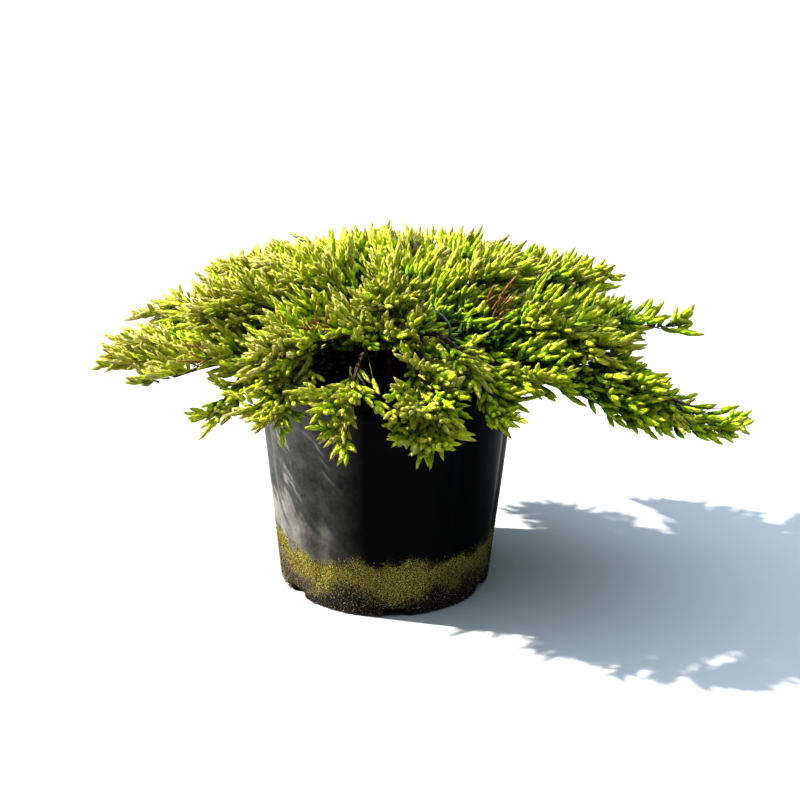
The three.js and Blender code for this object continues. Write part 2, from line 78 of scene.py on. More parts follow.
def make_piece(name, points, faces, material, slot, smooth=False, replaces=(), values=None):
    """A mesh object at the origin, from points in millimetres (n, 3) and faces (m, 3) or (m, 4).

    values are attributes that a material reads: a name, and one number for each point."""
    mesh = bpy.data.meshes.new(name)
    sides = faces.shape[1]
    mesh.vertices.add(len(points))
    mesh.vertices.foreach_set("co", (points * METRES).astype(np.float32).ravel())
    mesh.loops.add(faces.size)
    mesh.loops.foreach_set("vertex_index", faces.astype(np.int32).ravel())
    mesh.polygons.add(len(faces))
    mesh.polygons.foreach_set("loop_start", np.arange(0, faces.size, sides, dtype=np.int32))
    mesh.polygons.foreach_set("use_smooth", np.full(len(faces), smooth))
    mesh.update(calc_edges=True)
    mesh.materials.append(material)
    for value_name, numbers in (values or {}).items():
        attribute = mesh.attributes.new(value_name, "FLOAT", "POINT")
        attribute.data.foreach_set("value", numbers.astype(np.float32))
    piece = add_object(name, mesh)
    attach(piece, "root")
    if replaces:
        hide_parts(*replaces)
    print(f"{name}: {len(faces) * (sides - 2)} triangles")
    return piece


def joined(parts):
    """Several (points, faces) pairs as one: each part's faces count on from the points before it."""
    counts = np.cumsum([0] + [len(points) for points, _ in parts])
    points = np.concatenate([points for points, _ in parts])
    faces = np.concatenate([faces + start for (_, faces), start in zip(parts, counts)])
    return points, faces


# %% [markdown]
# A grid is the plainest surface there is: rows of points, each row a ring. Four neighbours make a face,
# and a ring is closed by letting its last point meet its first.

# %% Grids and directions
def grid_faces(rows, columns):
    """Quads of a grid whose rows are closed rings, facing away from the axis that the rows climb."""
    row, column = np.meshgrid(np.arange(rows - 1), np.arange(columns), indexing="ij")
    here, beside = row * columns + column, row * columns + (column + 1) % columns
    return np.stack([here, beside, beside + columns, here + columns], axis=-1).reshape(-1, 4)


def unit(vectors):
    """Each vector divided by its length."""
    return vectors / np.maximum(np.linalg.norm(vectors, axis=-1, keepdims=True), 1e-9)


def along(line, share):
    """The point at a share of a line, between the samples beside it, and the line's direction there."""
    place = np.clip(np.asarray(share, float), 0, 1) * (len(line) - 1)
    low = np.minimum(place.astype(int), len(line) - 2)
    part = (place - low)[..., None]
    return line[low] * (1 - part) + line[low + 1] * part, unit(line[low + 1] - line[low])


UP = np.array([0.0, 0.0, 1.0])

# %% [markdown]
# ## Materials
#
# A material is a small network of nodes. Images could be wrapped round each piece instead, but a pattern
# that is worked out at each point needs no unwrapping and stays sharp from near by. One function adds a
# node, sets what it is told and joins it to the nodes before it, and every finish below is written with
# it. Colours are given as a designer picks them, as sRGB hex, and are turned to the linear values that
# light is added up in.

# %% One function for colours and one for nodes
def linear(hex_colour):
    """sRGB hex to linear: c / 12.92 up to 0.04045, and ((c + 0.055) / 1.055) to the power 2.4 above."""
    channels = np.array([int(hex_colour[i : i + 2], 16) / 255 for i in (1, 3, 5)])
    low, high = channels / 12.92, ((channels + 0.055) / 1.055) ** 2.4
    return (*np.where(channels <= 0.04045, low, high), 1.0)


def add_node(tree, kind, values=None, links=None, **settings):
    """A new node with its settings, the values of its inputs, and its inputs' links from other outputs."""
    node = tree.nodes.new(kind)
    for name, value in settings.items():
        setattr(node, name, value)
    for name, value in (values or {}).items():
        node.inputs[name].default_value = value
    for name, output in (links or {}).items():
        tree.links.new(output, node.inputs[name])
    return node


def new_material(name, colour, roughness, ior=1.5):
    """A material, its node tree and its Principled shader, with one colour and gloss to start from."""
    material = bpy.data.materials.new(name)
    material.use_nodes = True
    shader = material.node_tree.nodes["Principled BSDF"]
    shader.inputs["Base Color"].default_value = linear(colour)
    shader.inputs["Roughness"].default_value = roughness
    shader.inputs["IOR"].default_value = ior
    return material, material.node_tree, shader


# %% [markdown]
# ## The pot's plastic
#
# A nursery pot is black polyethylene, injection moulded, so it is smooth and shines softly. Years on wet
# ground leave a band of moss round its foot, thick where water splashes, and dry grit under it. The side
# towards the sun carries a thin film of pale dust, and only that side, so its pale grey is partly dust and
# partly painted sunlight on the plastic. All three could be painted on an image that is wrapped round the
# wall. Here they follow height and side instead, with an edge that noise makes ragged, so they meet
# without a seam and a crumb of moss keeps its real size.

# %% Dust, moss and grit
BAND_TOP, RAGGED = 100, 13  # mm: the height that a ramp's end stands for, and how far its edge wanders
# the patterns: the size of a grain in mm, its detail and its roughness
GRAINS = {"patches": (30, 5, 0.5), "crumbs": (1.1, 3, 0.5), "sun_dust_film": (22, 9, 0.7)}
# the pale film on the side towards the sun, -X, is partly dust and partly painted sunlight on the plastic
DUST_AND_SUNLIGHT = {"side": (-20, -110), "noise": (0.15, 0.8), "colours": ("#040405", "#a19e98")}  # side is mm along X
# each band's share of crumbs by height in mm, where share plus noise begins to show and where it covers,
# and its colours by the noise; the moss grows over the grit
BANDS = {
    "grit": {
        "by_height": ((0, 1.0), (20, 0.9), (50, 0.5), (90, 0.0)), "shows": (0.95, 1.6),
        "colours": ((0.42, "#15120f"), (0.58, "#463c2f"), (0.72, "#a3967f")),
    },
    "moss": {
        "by_height": ((0, 0.0), (22, 0.45), (36, 0.9), (52, 1.0), (60, 0.5), (74, 0.0)), "shows": (0.9, 1.3),
        "colours": ((0.36, "#1c1a0a"), (0.5, "#786e2e"), (0.7, "#c9bc74")),
    },
}


def set_ramp(node, steps):
    """Puts a colour ramp's steps where they are told: each a place from 0 to 1 and a linear colour."""
    elements = node.color_ramp.elements
    while len(elements) < len(steps):
        elements.new(0.5)
    for element, (position, colour) in zip(elements, steps):
        element.position, element.color = position, colour
    return node.outputs["Color"]


def hex_steps(steps):
    """Steps of (place, sRGB hex) as a ramp's steps: the same places, and the colours made linear."""
    return [(position, linear(colour)) for position, colour in steps]


def height_steps(steps):
    """Steps of (mm, share) as a ramp's steps: the height over the band's top, and the share as a grey."""
    return [(height / BAND_TOP, (share, share, share, 1)) for height, share in steps]


# %% Black polyethylene
def black_polyethylene():
    """Black polyethylene, roughness near 0.4, dulled by age: pale dust and painted sunlight on the sun side,
    moss and grit at its foot.
    """
    material, tree, shader = new_material("black_polyethylene", "#050505", 0.42)
    shader.inputs["Specular IOR Level"].default_value = 0.07
    place = add_node(tree, "ShaderNodeTexCoord").outputs["Object"]
    axes = add_node(tree, "ShaderNodeSeparateXYZ", links={0: place})
    patches, crumbs, sun_dust_film = (
        add_node(
            tree, "ShaderNodeTexNoise", {"Scale": 1 / (size * METRES), "Detail": detail, "Roughness": rough},
            {"Vector": place},
        ).outputs["Fac"]
        for size, detail, rough in GRAINS.values()
    )
    # the height that each band reads, moved up and down by the patches
    shift = add_node(
        tree, "ShaderNodeMapRange",
        {"From Min": 0.3, "From Max": 0.7, "To Min": -RAGGED * METRES, "To Max": RAGGED * METRES},
        {"Value": patches},
    )
    moved = add_node(tree, "ShaderNodeMath", links={0: axes.outputs["Z"], 1: shift.outputs["Result"]})
    level = add_node(
        tree, "ShaderNodeMath", {1: 1 / (BAND_TOP * METRES)}, {0: moved.outputs[0]}, operation="MULTIPLY"
    )
    # the film of pale dust and painted sunlight: paler towards the sun side (-X), and thin in places
    start, whole = (distance * METRES for distance in DUST_AND_SUNLIGHT["side"])
    sun_side, patchy = (
        add_node(tree, "ShaderNodeMapRange", {"From Min": low, "From Max": high}, {"Value": value})
        for low, high, value in ((start, whole, axes.outputs["X"]), (*DUST_AND_SUNLIGHT["noise"], sun_dust_film))
    )
    dust_and_sunlight = add_node(
        tree, "ShaderNodeMath", links={0: sun_side.outputs["Result"], 1: patchy.outputs["Result"]},
        operation="MULTIPLY",
    )
    clean, dusty_and_sunlit = (linear(colour) for colour in DUST_AND_SUNLIGHT["colours"])
    colour = add_node(tree, "ShaderNodeMix", {6: clean, 7: dusty_and_sunlit}, {0: dust_and_sunlight.outputs[0]}, data_type="RGBA")
    # a crumb shows where the noise is higher than one less the share of crumbs at that height
    covers = []
    for band in BANDS.values():
        share = add_node(tree, "ShaderNodeValToRGB", links={"Fac": level.outputs[0]})
        total = add_node(
            tree, "ShaderNodeMath", links={0: set_ramp(share, height_steps(band["by_height"])), 1: crumbs}
        )
        begins, full = band["shows"]
        shown = add_node(
            tree, "ShaderNodeMapRange", {"From Min": begins, "From Max": full}, {"Value": total.outputs[0]}
        )
        tints = add_node(tree, "ShaderNodeValToRGB", links={"Fac": crumbs})
        colour = add_node(
            tree, "ShaderNodeMix", data_type="RGBA",
            links={0: shown.outputs[0], 6: colour.outputs[2], 7: set_ramp(tints, hex_steps(band["colours"]))},
        )
        covers.append(shown.outputs[0])
    tree.links.new(colour.outputs[2], shader.inputs["Base Color"])
    # moss and grit are matt and stand proud of the plastic
    matt = add_node(tree, "ShaderNodeMath", links=dict(enumerate(covers)), operation="MAXIMUM")
    roughness = add_node(
        tree, "ShaderNodeMapRange", {"To Min": 0.38, "To Max": 0.95}, {"Value": matt.outputs[0]}
    )
    tree.links.new(roughness.outputs["Result"], shader.inputs["Roughness"])
    relief = add_node(tree, "ShaderNodeMath", links={0: matt.outputs[0], 1: crumbs}, operation="MULTIPLY")
    bump = add_node(
        tree, "ShaderNodeBump", {"Strength": 0.9, "Distance": 1.5 * METRES}, {"Height": relief.outputs[0]}
    )
    tree.links.new(bump.outputs["Normal"], shader.inputs["Normal"])
    return material


# %% [markdown]
# ## The pot
#
# The pot is a profile carried round: flat underside, a rounded corner, a wall that leans out by a tenth
# of its height, a rolled lip, and the same again inside. A Spin or a Screw modifier could carry it, but
# on a grid of points the soft flutes that the mould pressed into the wall are one more formula.

# %% Pot profile
POT = {"height": 240, "base_radius": 112, "taper": 0.1, "wall": 2.2, "floor": 3, "corner": 4}
LIP = {"height": 11, "proud": 4.5, "round": 1.6}
PROFILE_ROWS = {"underside": 8, "wall": 56, "inside": 40, "floor": 6}
AXIS = 0.01  # mm: a row this near to the axis closes a surface


def pot_radius(height):
    """The wall's outside radius: the foot's radius plus a tenth of the height."""
    return POT["base_radius"] + POT["taper"] * height


def arc(centre, radius, start, end, count=5):
    """Points of an arc: the centre plus the radius times the cosine and sine of each angle."""
    angles = np.radians(np.linspace(start, end, count))
    return np.stack([centre[0] + radius * np.cos(angles), centre[1] + radius * np.sin(angles)], axis=1)


def straight(first, second, count):
    """Points of a straight run, without its last."""
    return np.linspace(first, second, count, endpoint=False)


def pot_profile():
    """Rows of (radius, height): out along the underside, up the wall, over the lip, down inside."""
    top, foot, corner = POT["height"], POT["height"] - LIP["height"], POT["corner"]
    outer, inner = pot_radius(top) + LIP["proud"], pot_radius(top) - POT["wall"]
    edge, bend, rows = POT["base_radius"] - corner, LIP["round"], PROFILE_ROWS
    return np.concatenate([
        straight((AXIS, 0), (edge, 0), rows["underside"]),
        arc((edge, corner), corner, -90, 0),
        straight((pot_radius(corner) + 0.01, corner + 0.5), (pot_radius(foot), foot), rows["wall"]),
        arc((pot_radius(foot) + bend, foot - bend), bend, 180, 90),
        arc((outer - bend, foot + bend), bend, -90, 0),
        arc((outer - bend, top - bend), bend, 0, 90),
        arc((inner + bend, top - bend), bend, 90, 180),
        straight((inner, top - 6), (pot_radius(corner) - POT["wall"], corner + 2), rows["inside"]),
        straight((edge - 3, POT["floor"]), (AXIS, POT["floor"]), rows["floor"]),
        [(AXIS, POT["floor"])],
    ])


# %% Flutes and the pot's surface
FLUTES = {"count": 10, "depth": 2.8, "angle": 56, "low": 26, "high": 208, "width": 4.5, "fade": 14}
WARPS = ((0.35, 3, 0.02), (0.25, 7, -0.03))  # mm, waves to the round, and radians of drift to the mm
POT_COLUMNS = 288


def angle_off(angle, first, count):
    """How many degrees an angle is from the nearest of so many marks, evenly round from the first."""
    pitch = 360 / count
    return (np.degrees(angle) - first + pitch / 2) % pitch - pitch / 2


def flute_depth(angle, height):
    """A bell across each flute, a few degrees wide, times a smooth fade at its foot and its head."""
    off = angle_off(angle, FLUTES["angle"], FLUTES["count"])
    foot, head = height - FLUTES["low"], FLUTES["high"] - height
    fade = np.clip(foot / FLUTES["fade"], 0, 1) * np.clip(head / FLUTES["fade"], 0, 1)
    return FLUTES["depth"] * fade * np.exp(-((off / FLUTES["width"]) ** 2))


def around(profile, columns):
    """Rows of (radius, height) carried round the axis: the columns' angles, and both at every point."""
    angle = np.linspace(0, 2 * np.pi, columns, endpoint=False)[None, :]
    return angle, profile[:, :1], profile[:, 1:]


def pot_surface():
    """The profile carried round the axis, pressed in by the flutes and warped by a third of a millimetre."""
    profile = pot_profile()
    angle, radius, height = around(profile, POT_COLUMNS)
    on_wall = (radius > POT["base_radius"] - 8) & (height < POT["height"] - LIP["height"])
    warp = sum(size * np.sin(waves * angle + drift * height) for size, waves, drift in WARPS)
    wall_radius = radius + on_wall * (warp - flute_depth(angle, height))
    points = np.stack([wall_radius * np.cos(angle), wall_radius * np.sin(angle), height + 0 * angle], axis=-1)
    return points.reshape(-1, 3), grid_faces(len(profile), POT_COLUMNS)


# %% [markdown]
# Six drain notches are cut at the foot. They go right through the wall, which a formula on a grid can't
# do, so a Boolean modifier takes boxes away, and is applied at once.

# %% Drain notches
DRAIN = {"count": 6, "width": 25, "height": 9.5, "angle": 276, "depth": 14, "past": 4}


def notch_cutters():
    """Boxes round the foot, each as wide and twice as high as a drain notch, past the wall by 4 mm."""
    corners = np.array([(x, y, z) for x in (-1, 1) for y in (-1, 1) for z in (-1, 1)]) / 2
    size = np.array([DRAIN["depth"], DRAIN["width"], 2 * DRAIN["height"]])
    box = corners * size + [POT["base_radius"] - DRAIN["depth"] / 2 + DRAIN["past"], 0, 0]
    faces = np.array([(0, 1, 3, 2), (4, 6, 7, 5), (0, 4, 5, 1), (2, 3, 7, 6), (0, 2, 6, 4), (1, 5, 7, 3)])
    parts = []
    for number in range(DRAIN["count"]):
        turn = np.radians(DRAIN["angle"] + 360 / DRAIN["count"] * number)
        matrix = np.array([[np.cos(turn), np.sin(turn), 0], [-np.sin(turn), np.cos(turn), 0], [0, 0, 1]])
        parts.append((box @ matrix, faces))
    return joined(parts)


def cut(piece, points, faces):
    """Takes a solid away from a piece with a Boolean modifier, and keeps only the result."""
    mesh = bpy.data.meshes.new("cutter")
    mesh.from_pydata((points * METRES).tolist(), [], faces.tolist())
    cutter = add_object("cutter", mesh)
    modifier = piece.modifiers.new("notches", "BOOLEAN")
    modifier.operation, modifier.object, modifier.solver = "DIFFERENCE", cutter, "EXACT"
    bpy.context.view_layer.update()
    evaluated = piece.evaluated_get(bpy.context.evaluated_depsgraph_get())
    piece.data = bpy.data.meshes.new_from_object(evaluated)
    piece.modifiers.clear()
    bpy.data.objects.remove(cutter)
    print("after the cut the piece has", len(piece.data.polygons), "faces")


pot = make_piece("pot_wall", *pot_surface(), black_polyethylene(), "pot", smooth=True, replaces=["pot"])
cut(pot, *notch_cutters())

# %% [markdown]
# Moss and grit are more than colour: crumbs of both stand proud of the foot and roughen its outline.
# Displacement would need a far finer wall. Each crumb is an eight faced lump instead, dealt out over
# the wall from the ground up, and thinned out with height.

# %% Crumbs on the foot
CRUMBS = {
    "count": 5000, "size": (0.35, 0.95), "proud": 0.1, "moss": (14, 66, 1.0), "grit": (1.2, 44, 1.6),  # mm
    "notch": (8, 2),  # degrees either side of a notch's middle, and mm over it, that stay clear
}


def varied(count, least, spread):
    """So many random numbers: the least, plus a random share of the spread."""
    return least + spread * random.random(count)


def crumbs_on_pot(low, high, lean):
    """Eight faced lumps on the wall from low to high, the fewer the higher if lean is over 1."""
    angle = 2 * np.pi * random.random(CRUMBS["count"])
    height = low + (high - low) * random.random(CRUMBS["count"]) ** lean
    beside, over = CRUMBS["notch"]
    off = angle_off(angle, DRAIN["angle"], DRAIN["count"])
    on_wall = (np.abs(off) > beside) | (height > DRAIN["height"] + over)
    angle, height = angle[on_wall], height[on_wall]
    least, most = CRUMBS["size"]
    size = least + (most - least) * random.random(len(angle)) ** 2
    radius = pot_radius(height) - flute_depth(angle, height) + CRUMBS["proud"]
    middle = np.stack([radius * np.cos(angle), radius * np.sin(angle), height], axis=1)
    corners = np.array([(1, 0, 0), (0, 1, 0), (-1, 0, 0), (0, -1, 0), (0, 0, 1), (0, 0, -1)])
    faces = np.array([(0, 1, 4), (1, 2, 4), (2, 3, 4), (3, 0, 4), (1, 0, 5), (2, 1, 5), (3, 2, 5), (0, 3, 5)])
    points = middle[:, None] + corners * varied((len(angle), 6, 1), 0.7, 0.6) * size[:, None, None]
    return points.reshape(-1, 3), (faces[None] + 6 * np.arange(len(angle))[:, None, None]).reshape(-1, 3)


def mottled(name, base, roughness, grain, detail, steps):
    """A finish whose colour wanders over a ramp's steps, by noise with a grain in mm. Gives the noise too."""
    material, tree, shader = new_material(name, base, roughness)
    place = add_node(tree, "ShaderNodeTexCoord").outputs["Object"]
    noise = add_node(
        tree, "ShaderNodeTexNoise", {"Scale": 1 / (grain * METRES), "Detail": detail}, {"Vector": place}
    )
    colours = add_node(tree, "ShaderNodeValToRGB", links={"Fac": noise.outputs["Fac"]})
    tree.links.new(set_ramp(colours, hex_steps(steps)), shader.inputs["Base Color"])
    return material, tree, shader, noise


# a crumb is matt, and its colour wanders over 2 mm, from one crumb to the next
moss = mottled("moss", "#3d3a14", 0.95, 2, 1, ((0.4, "#3d3a14"), (0.65, "#a0945a")))[0]
grit = mottled("grit", "#2b251e", 0.95, 2, 1, ((0.4, "#2b251e"), (0.65, "#9a8d78")))[0]
moss_crumbs, grit_crumbs = crumbs_on_pot(*CRUMBS["moss"]), crumbs_on_pot(*CRUMBS["grit"])
make_piece("moss_crumbs", *moss_crumbs, moss, "pot", replaces=["pot"])
make_piece("grit_crumbs", *grit_crumbs, grit, "pot", replaces=["pot"])

# %% [markdown]
# ## Potting soil
#
# Composted bark and peat, nearly black where it is damp. From above it shows between the boughs. It could
# be a flat disc with bump, but its lumps cast shadows of their own, so it is one closed body with a rough
# top: waves of several lengths added up stand for the lumps.

# %% Soil
SOIL = {
    "top": 218, "dish": 5, "foot": 3.35, "rows": 70, "columns": 160, "gap": 0.4,  # mm, but rows and columns
    "waves": (31, 17, 9, 6), "rough": 0.55, "sunk": 2,
}


def lumps(x, y, sizes):
    """Waves of several lengths, each in a direction of its own, added with the short ones low."""
    total = np.zeros_like(x)
    for number, size in enumerate(sizes):
        turn = 2.4 * number
        along_x, along_y = np.cos(turn), np.sin(turn)
        total += size / 9 * np.sin((x * along_x + y * along_y) * 2 * np.pi / size + number)
        total += size / 11 * np.sin((x * along_y - y * along_x) * 2 * np.pi / (size * 1.3) + 2 * number)
    return total


def soil_surface():
    """Rings from the middle of the top out to the wall, then down the side to the floor and back in."""
    inner = pot_radius(SOIL["top"] - SOIL["dish"]) - POT["wall"] - FLUTES["depth"] - SOIL["gap"]
    share = np.linspace(0.001, 1, SOIL["rows"])[:, None]
    side = np.array([
        (inner - 1, SOIL["top"] - 20), (pot_radius(6) - 6, 6), (1, SOIL["foot"]), (AXIS, SOIL["foot"])
    ])
    angle, radius, height = around(side, SOIL["columns"])
    x, y = share * inner * np.cos(angle), share * inner * np.sin(angle)
    rough = SOIL["rough"] * lumps(x, y, SOIL["waves"])
    top = np.stack([x, y, SOIL["top"] - SOIL["dish"] * share**2 + rough - SOIL["sunk"]], axis=-1)
    low = np.stack([radius * np.cos(angle), radius * np.sin(angle), height + 0 * angle], axis=-1)
    faces = grid_faces(SOIL["rows"] + len(side), SOIL["columns"])[:, ::-1]
    return np.concatenate([top, low]).reshape(-1, 3), faces


def potting_soil():
    """Damp composted bark: nearly black brown, matt, with crumbs 3 mm wide."""
    steps = ((0.35, "#15100b"), (0.7, "#4a3626"))
    material, tree, shader, crumbs = mottled("potting_soil", "#2a1f16", 0.95, 3, 4, steps)
    bump = add_node(tree, "ShaderNodeBump", {"Distance": 2 * METRES}, {"Height": crumbs.outputs["Fac"]})
    tree.links.new(bump.outputs["Normal"], shader.inputs["Normal"])
    return material


make_piece("soil_surface", *soil_surface(), potting_soil(), "soil", smooth=True, replaces=["soil"])

# %% [markdown]
# ## Where the limbs run
#
# The source grows every limb along one smooth line: out of its fork, over an arch, to its furthest
# tip. The same table and the same rule are written again here, so the fine foliage fills the same
# space as the frame's masses. A quadratic curve has three points: the start, a middle that is pulled
# up and sideways, and the end. It is sampled and then measured off in even steps.

# %% Limb table
STEM = {"height": 48, "lean": (6, -3), "radius": 16, "top_radius": 14, "flare": 8, "flare_share": 0.16}
BOUGH = {"radius": 4.4, "tip_radius": 1.2}

# name: (from, at, azimuth, reach, tip, lift, crest, bend, width, bare)
LIMBS = {
    # the top, which carries on from the stem
    "rear_top": ("stem", 1, 70, 88, 364, 0, 0.5, -8, 60, 0.3),
    "left_top": ("stem", 1, 170, 124, 350, 10, 0.5, 10, 66, 0.32),
    "right_top": ("stem", 1, 6, 132, 344, 12, 0.5, 10, 66, 0.26),
    "front_top": ("stem", 1, 266, 84, 338, 6, 0.5, 10, 62, 0.3),
    "rear_left_top": ("left_top", 0.21, 124, 150, 344, 8, 0.5, 8, 62, 0.3),
    # the skirt, which arches over the rim and droops
    "left_frond": ("stem", 0.5, 183, 306, 250, 14, 0.45, 18, 70, 0.3),
    "rear_left_frond": ("stem", 0.74, 124, 236, 246, 80, 0.55, 20, 74, 0.34),
    "rear_frond": ("stem", 0.5, 84, 216, 238, 100, 0.55, -20, 78, 0.36),
    "rear_right_frond": ("stem", 0.74, 42, 258, 250, 70, 0.5, 20, 74, 0.32),
    "right_low_frond": ("stem", 0.52, 346, 374, 204, 80, 0.42, -24, 66, 0.28),
    "front_right_sprig": ("stem", 0.76, 314, 184, 216, 92, 0.6, -14, 72, 0.34),
    "front_frond": ("stem", 0.5, 283, 196, 206, 128, 0.62, 10, 70, 0.34),
    "front_left_frond": ("stem", 0.76, 228, 180, 216, 100, 0.6, -12, 68, 0.34),
    "front_sprig": ("front_frond", 0.24, 257, 174, 222, 96, 0.6, -14, 66, 0.3),
    "left_low_frond": ("left_frond", 0.1, 194, 254, 232, 40, 0.5, 14, 62, 0.32),
    "lower_left_sprig": ("front_left_frond", 0.2, 206, 206, 200, 60, 0.5, -12, 40, 0.4),
    "left_rear_frond": ("left_frond", 0.17, 160, 284, 264, 26, 0.5, -14, 68, 0.3),
    "right_frond": ("right_low_frond", 0.14, 8, 320, 272, 14, 0.5, -16, 68, 0.28),
    "right_front_sprig": ("right_low_frond", 0.13, 328, 226, 218, 60, 0.5, -14, 68, 0.3),
    # the shoulder, which rises and spreads over the skirt
    "left_shoulder": ("left_top", 0.12, 186, 226, 292, 26, 0.5, -10, 68, 0.28),
    "rear_left_shoulder": ("left_top", 0.07, 150, 222, 312, 12, 0.5, 12, 68, 0.24),
    "rear_shoulder": ("rear_top", 0.14, 104, 184, 312, 24, 0.5, -10, 70, 0.3),
    "rear_right_shoulder": ("rear_top", 0.22, 52, 206, 316, 14, 0.5, 14, 68, 0.28),
    "right_shoulder": ("right_top", 0.13, 24, 268, 306, 16, 0.5, -14, 66, 0.24),
    "right_front_shoulder": ("right_top", 0.12, 342, 236, 280, 30, 0.5, 14, 68, 0.28),
    "front_right_shoulder": ("front_top", 0.14, 304, 156, 282, 40, 0.55, 6, 64, 0.3),
    "front_shoulder": ("front_top", 0.3, 268, 140, 288, 22, 0.55, -10, 60, 0.2),
    "front_left_shoulder": ("front_top", 0.2, 226, 174, 284, 28, 0.5, 12, 68, 0.28),
}

# %% Limb lines
FIELDS = ("from", "at", "azimuth", "reach", "tip", "lift", "crest", "bend", "width", "bare")
limbs = {name: dict(zip(FIELDS, row)) for name, row in LIMBS.items()}
SAMPLES = 49  # points of a limb's line


def lengths_along(line):
    """How far each point of a line is from its start: the lengths of its steps, added up."""
    return np.concatenate([[0], np.cumsum(np.linalg.norm(np.diff(line, axis=0), axis=1))])


def bezier(start, middle, end, count=SAMPLES):
    """(1 - t)^2 start + 2 t (1 - t) middle + t^2 end, measured off in even steps of length."""
    t = np.linspace(0, 1, 4 * count)[:, None]
    fine = (1 - t) ** 2 * start + 2 * t * (1 - t) * middle + t**2 * end
    travelled = lengths_along(fine)
    even = np.linspace(0, travelled[-1], count)
    return np.stack([np.interp(even, travelled, fine[:, axis]) for axis in range(3)], axis=1)


def limb_line(limb, parent, parent_radius):
    """From inside what it forks off, by way of a middle pulled up and sideways, to the furthest tip."""
    fork, direction = along(parent, limb["at"])
    turn = np.radians(limb["azimuth"])
    heading = np.array([np.cos(turn), np.sin(turn), 0])
    sideways = np.array([-heading[1], heading[0], 0])
    end = heading * limb["reach"] + UP * limb["tip"]
    middle = fork + (end - fork) * limb["crest"] + sideways * limb["bend"] + UP * limb["lift"]
    if limb["from"] == "stem" and limb["at"] == 1:
        out = unit(heading - direction * (heading @ direction))
        return bezier(fork + out * (parent_radius - BOUGH["radius"]) - direction * 2, middle, end)
    return bezier(fork + unit(middle - fork) * parent_radius * 0.6, middle, end)


stem_foot = np.array([0, 0, SOIL["top"] + 0.35])
stem_top = np.array([*STEM["lean"], SOIL["top"] + STEM["height"]])
lines = {"stem": bezier(stem_foot, np.array([0, 0, SOIL["top"] + STEM["height"] / 2]), stem_top)}
for name, limb in limbs.items():
    radius = STEM["top_radius"] if limb["from"] == "stem" else BOUGH["radius"]
    lines[name] = limb_line(limb, lines[limb["from"]], radius)
print(len(limbs), "limbs, the furthest tip at", np.round(lines["right_low_frond"][-1]))

# %% [markdown]
# ## Bark
#
# Juniper bark is thin and reddish brown, and peels in long strips that run along the limb, twisting a
# little. Bump alone would leave the outline smooth, so the strips are real: a tube is a ring carried
# along a line, and its relief is waves across the ring whose phase drifts slowly on the way. The same
# numbers are kept on the points as an attribute, so the material can make the furrows red and the
# weathered ridges grey.

# %% Tubes with relief
# the ridges of the bark: height, ridges to the ring, drift and phase
STRIPS = ((0.5, 3, 0.05, 1), (0.35, 5, -0.09, 0), (0.3, 9, 0.16, 2), (0.25, 0, 0.5, 1))


def frames(line):
    """Two directions across a line at each of its points: one level, the other square to both."""
    tangent = unit(np.gradient(line, axis=0))
    guide = np.where(np.abs(tangent[:, 2:]) > 0.9, [[0.0, 1.0, 0.0]], [[0.0, 0.0, 1.0]])
    across = unit(np.cross(tangent, guide))
    return across, unit(np.cross(across, tangent))


def strips(angle, distance, phase):
    """Ridges 3, 5 and 9 to the ring that drift along the limb, with short swellings on top."""
    return sum(
        height * np.sin(ridges * angle + drift * distance + times * phase)
        for height, ridges, drift, times in STRIPS
    )


def tube(line, radii, sides, relief, phase):
    """Rings round a line, each radius times one plus the relief. Its ends are drawn in to a point."""
    across, over = frames(line)
    angle = np.linspace(0, 2 * np.pi, sides, endpoint=False)[None, :]
    ridge = strips(angle, lengths_along(line)[:, None], phase)
    radius = np.asarray(radii)[:, None] * (1 + relief * ridge)
    radius[[0, -1]] = AXIS
    ring = np.cos(angle)[..., None] * across[:, None] + np.sin(angle)[..., None] * over[:, None]
    points = (line[:, None] + ring * radius[..., None]).reshape(-1, 3)
    return points, grid_faces(len(line), sides)[:, ::-1], ridge.ravel()


def doubled_ends(line, radii):
    """A line and its radii with the first and last point twice, so that a tube has flat ends."""
    rows = np.concatenate([[0], np.arange(len(line)), [len(line) - 1]])
    nudge = np.zeros((len(rows), 1))
    nudge[0], nudge[-1] = -AXIS, AXIS
    return line[rows] + nudge * UP, np.asarray(radii)[rows]


def juniper_bark():
    """Old juniper bark: grey brown weathered ridges over red brown furrows, matt, with 2.5 mm fibres."""
    material, tree, shader = new_material("juniper_bark", "#5d4433", 0.85)
    ridge = add_node(tree, "ShaderNodeAttribute", attribute_name="ridge").outputs["Fac"]
    place = add_node(tree, "ShaderNodeTexCoord").outputs["Object"]
    fibre = add_node(
        tree, "ShaderNodeTexNoise", {"Scale": 1 / (2.5 * METRES), "Detail": 4}, {"Vector": place}
    )
    both = add_node(tree, "ShaderNodeMath", links={0: ridge, 1: fibre.outputs["Fac"]})
    colours = add_node(tree, "ShaderNodeValToRGB", links={"Fac": both.outputs[0]})
    steps = hex_steps(((0.1, "#2f1a10"), (1.0, "#6b5545")))
    tree.links.new(set_ramp(colours, steps), shader.inputs["Base Color"])
    bump = add_node(tree, "ShaderNodeBump", {"Distance": METRES}, {"Height": both.outputs[0]})
    tree.links.new(bump.outputs["Normal"], shader.inputs["Normal"])
    return material


# %% [markdown]
# ## The space each mass keeps to
#
# The source lets a spray stand only where it is free: under the dome of the crown, over its hem, clear
# of the pot, and nearer to its own leader than to any other, but for a small overstep. The fine shoots
# obey the same rule, so they fill the frame's masses and reach no further. The rule could be tested
# against the masses' own meshes, but distances to a few straight stretches are quicker, and they are
# the rule that made those meshes.

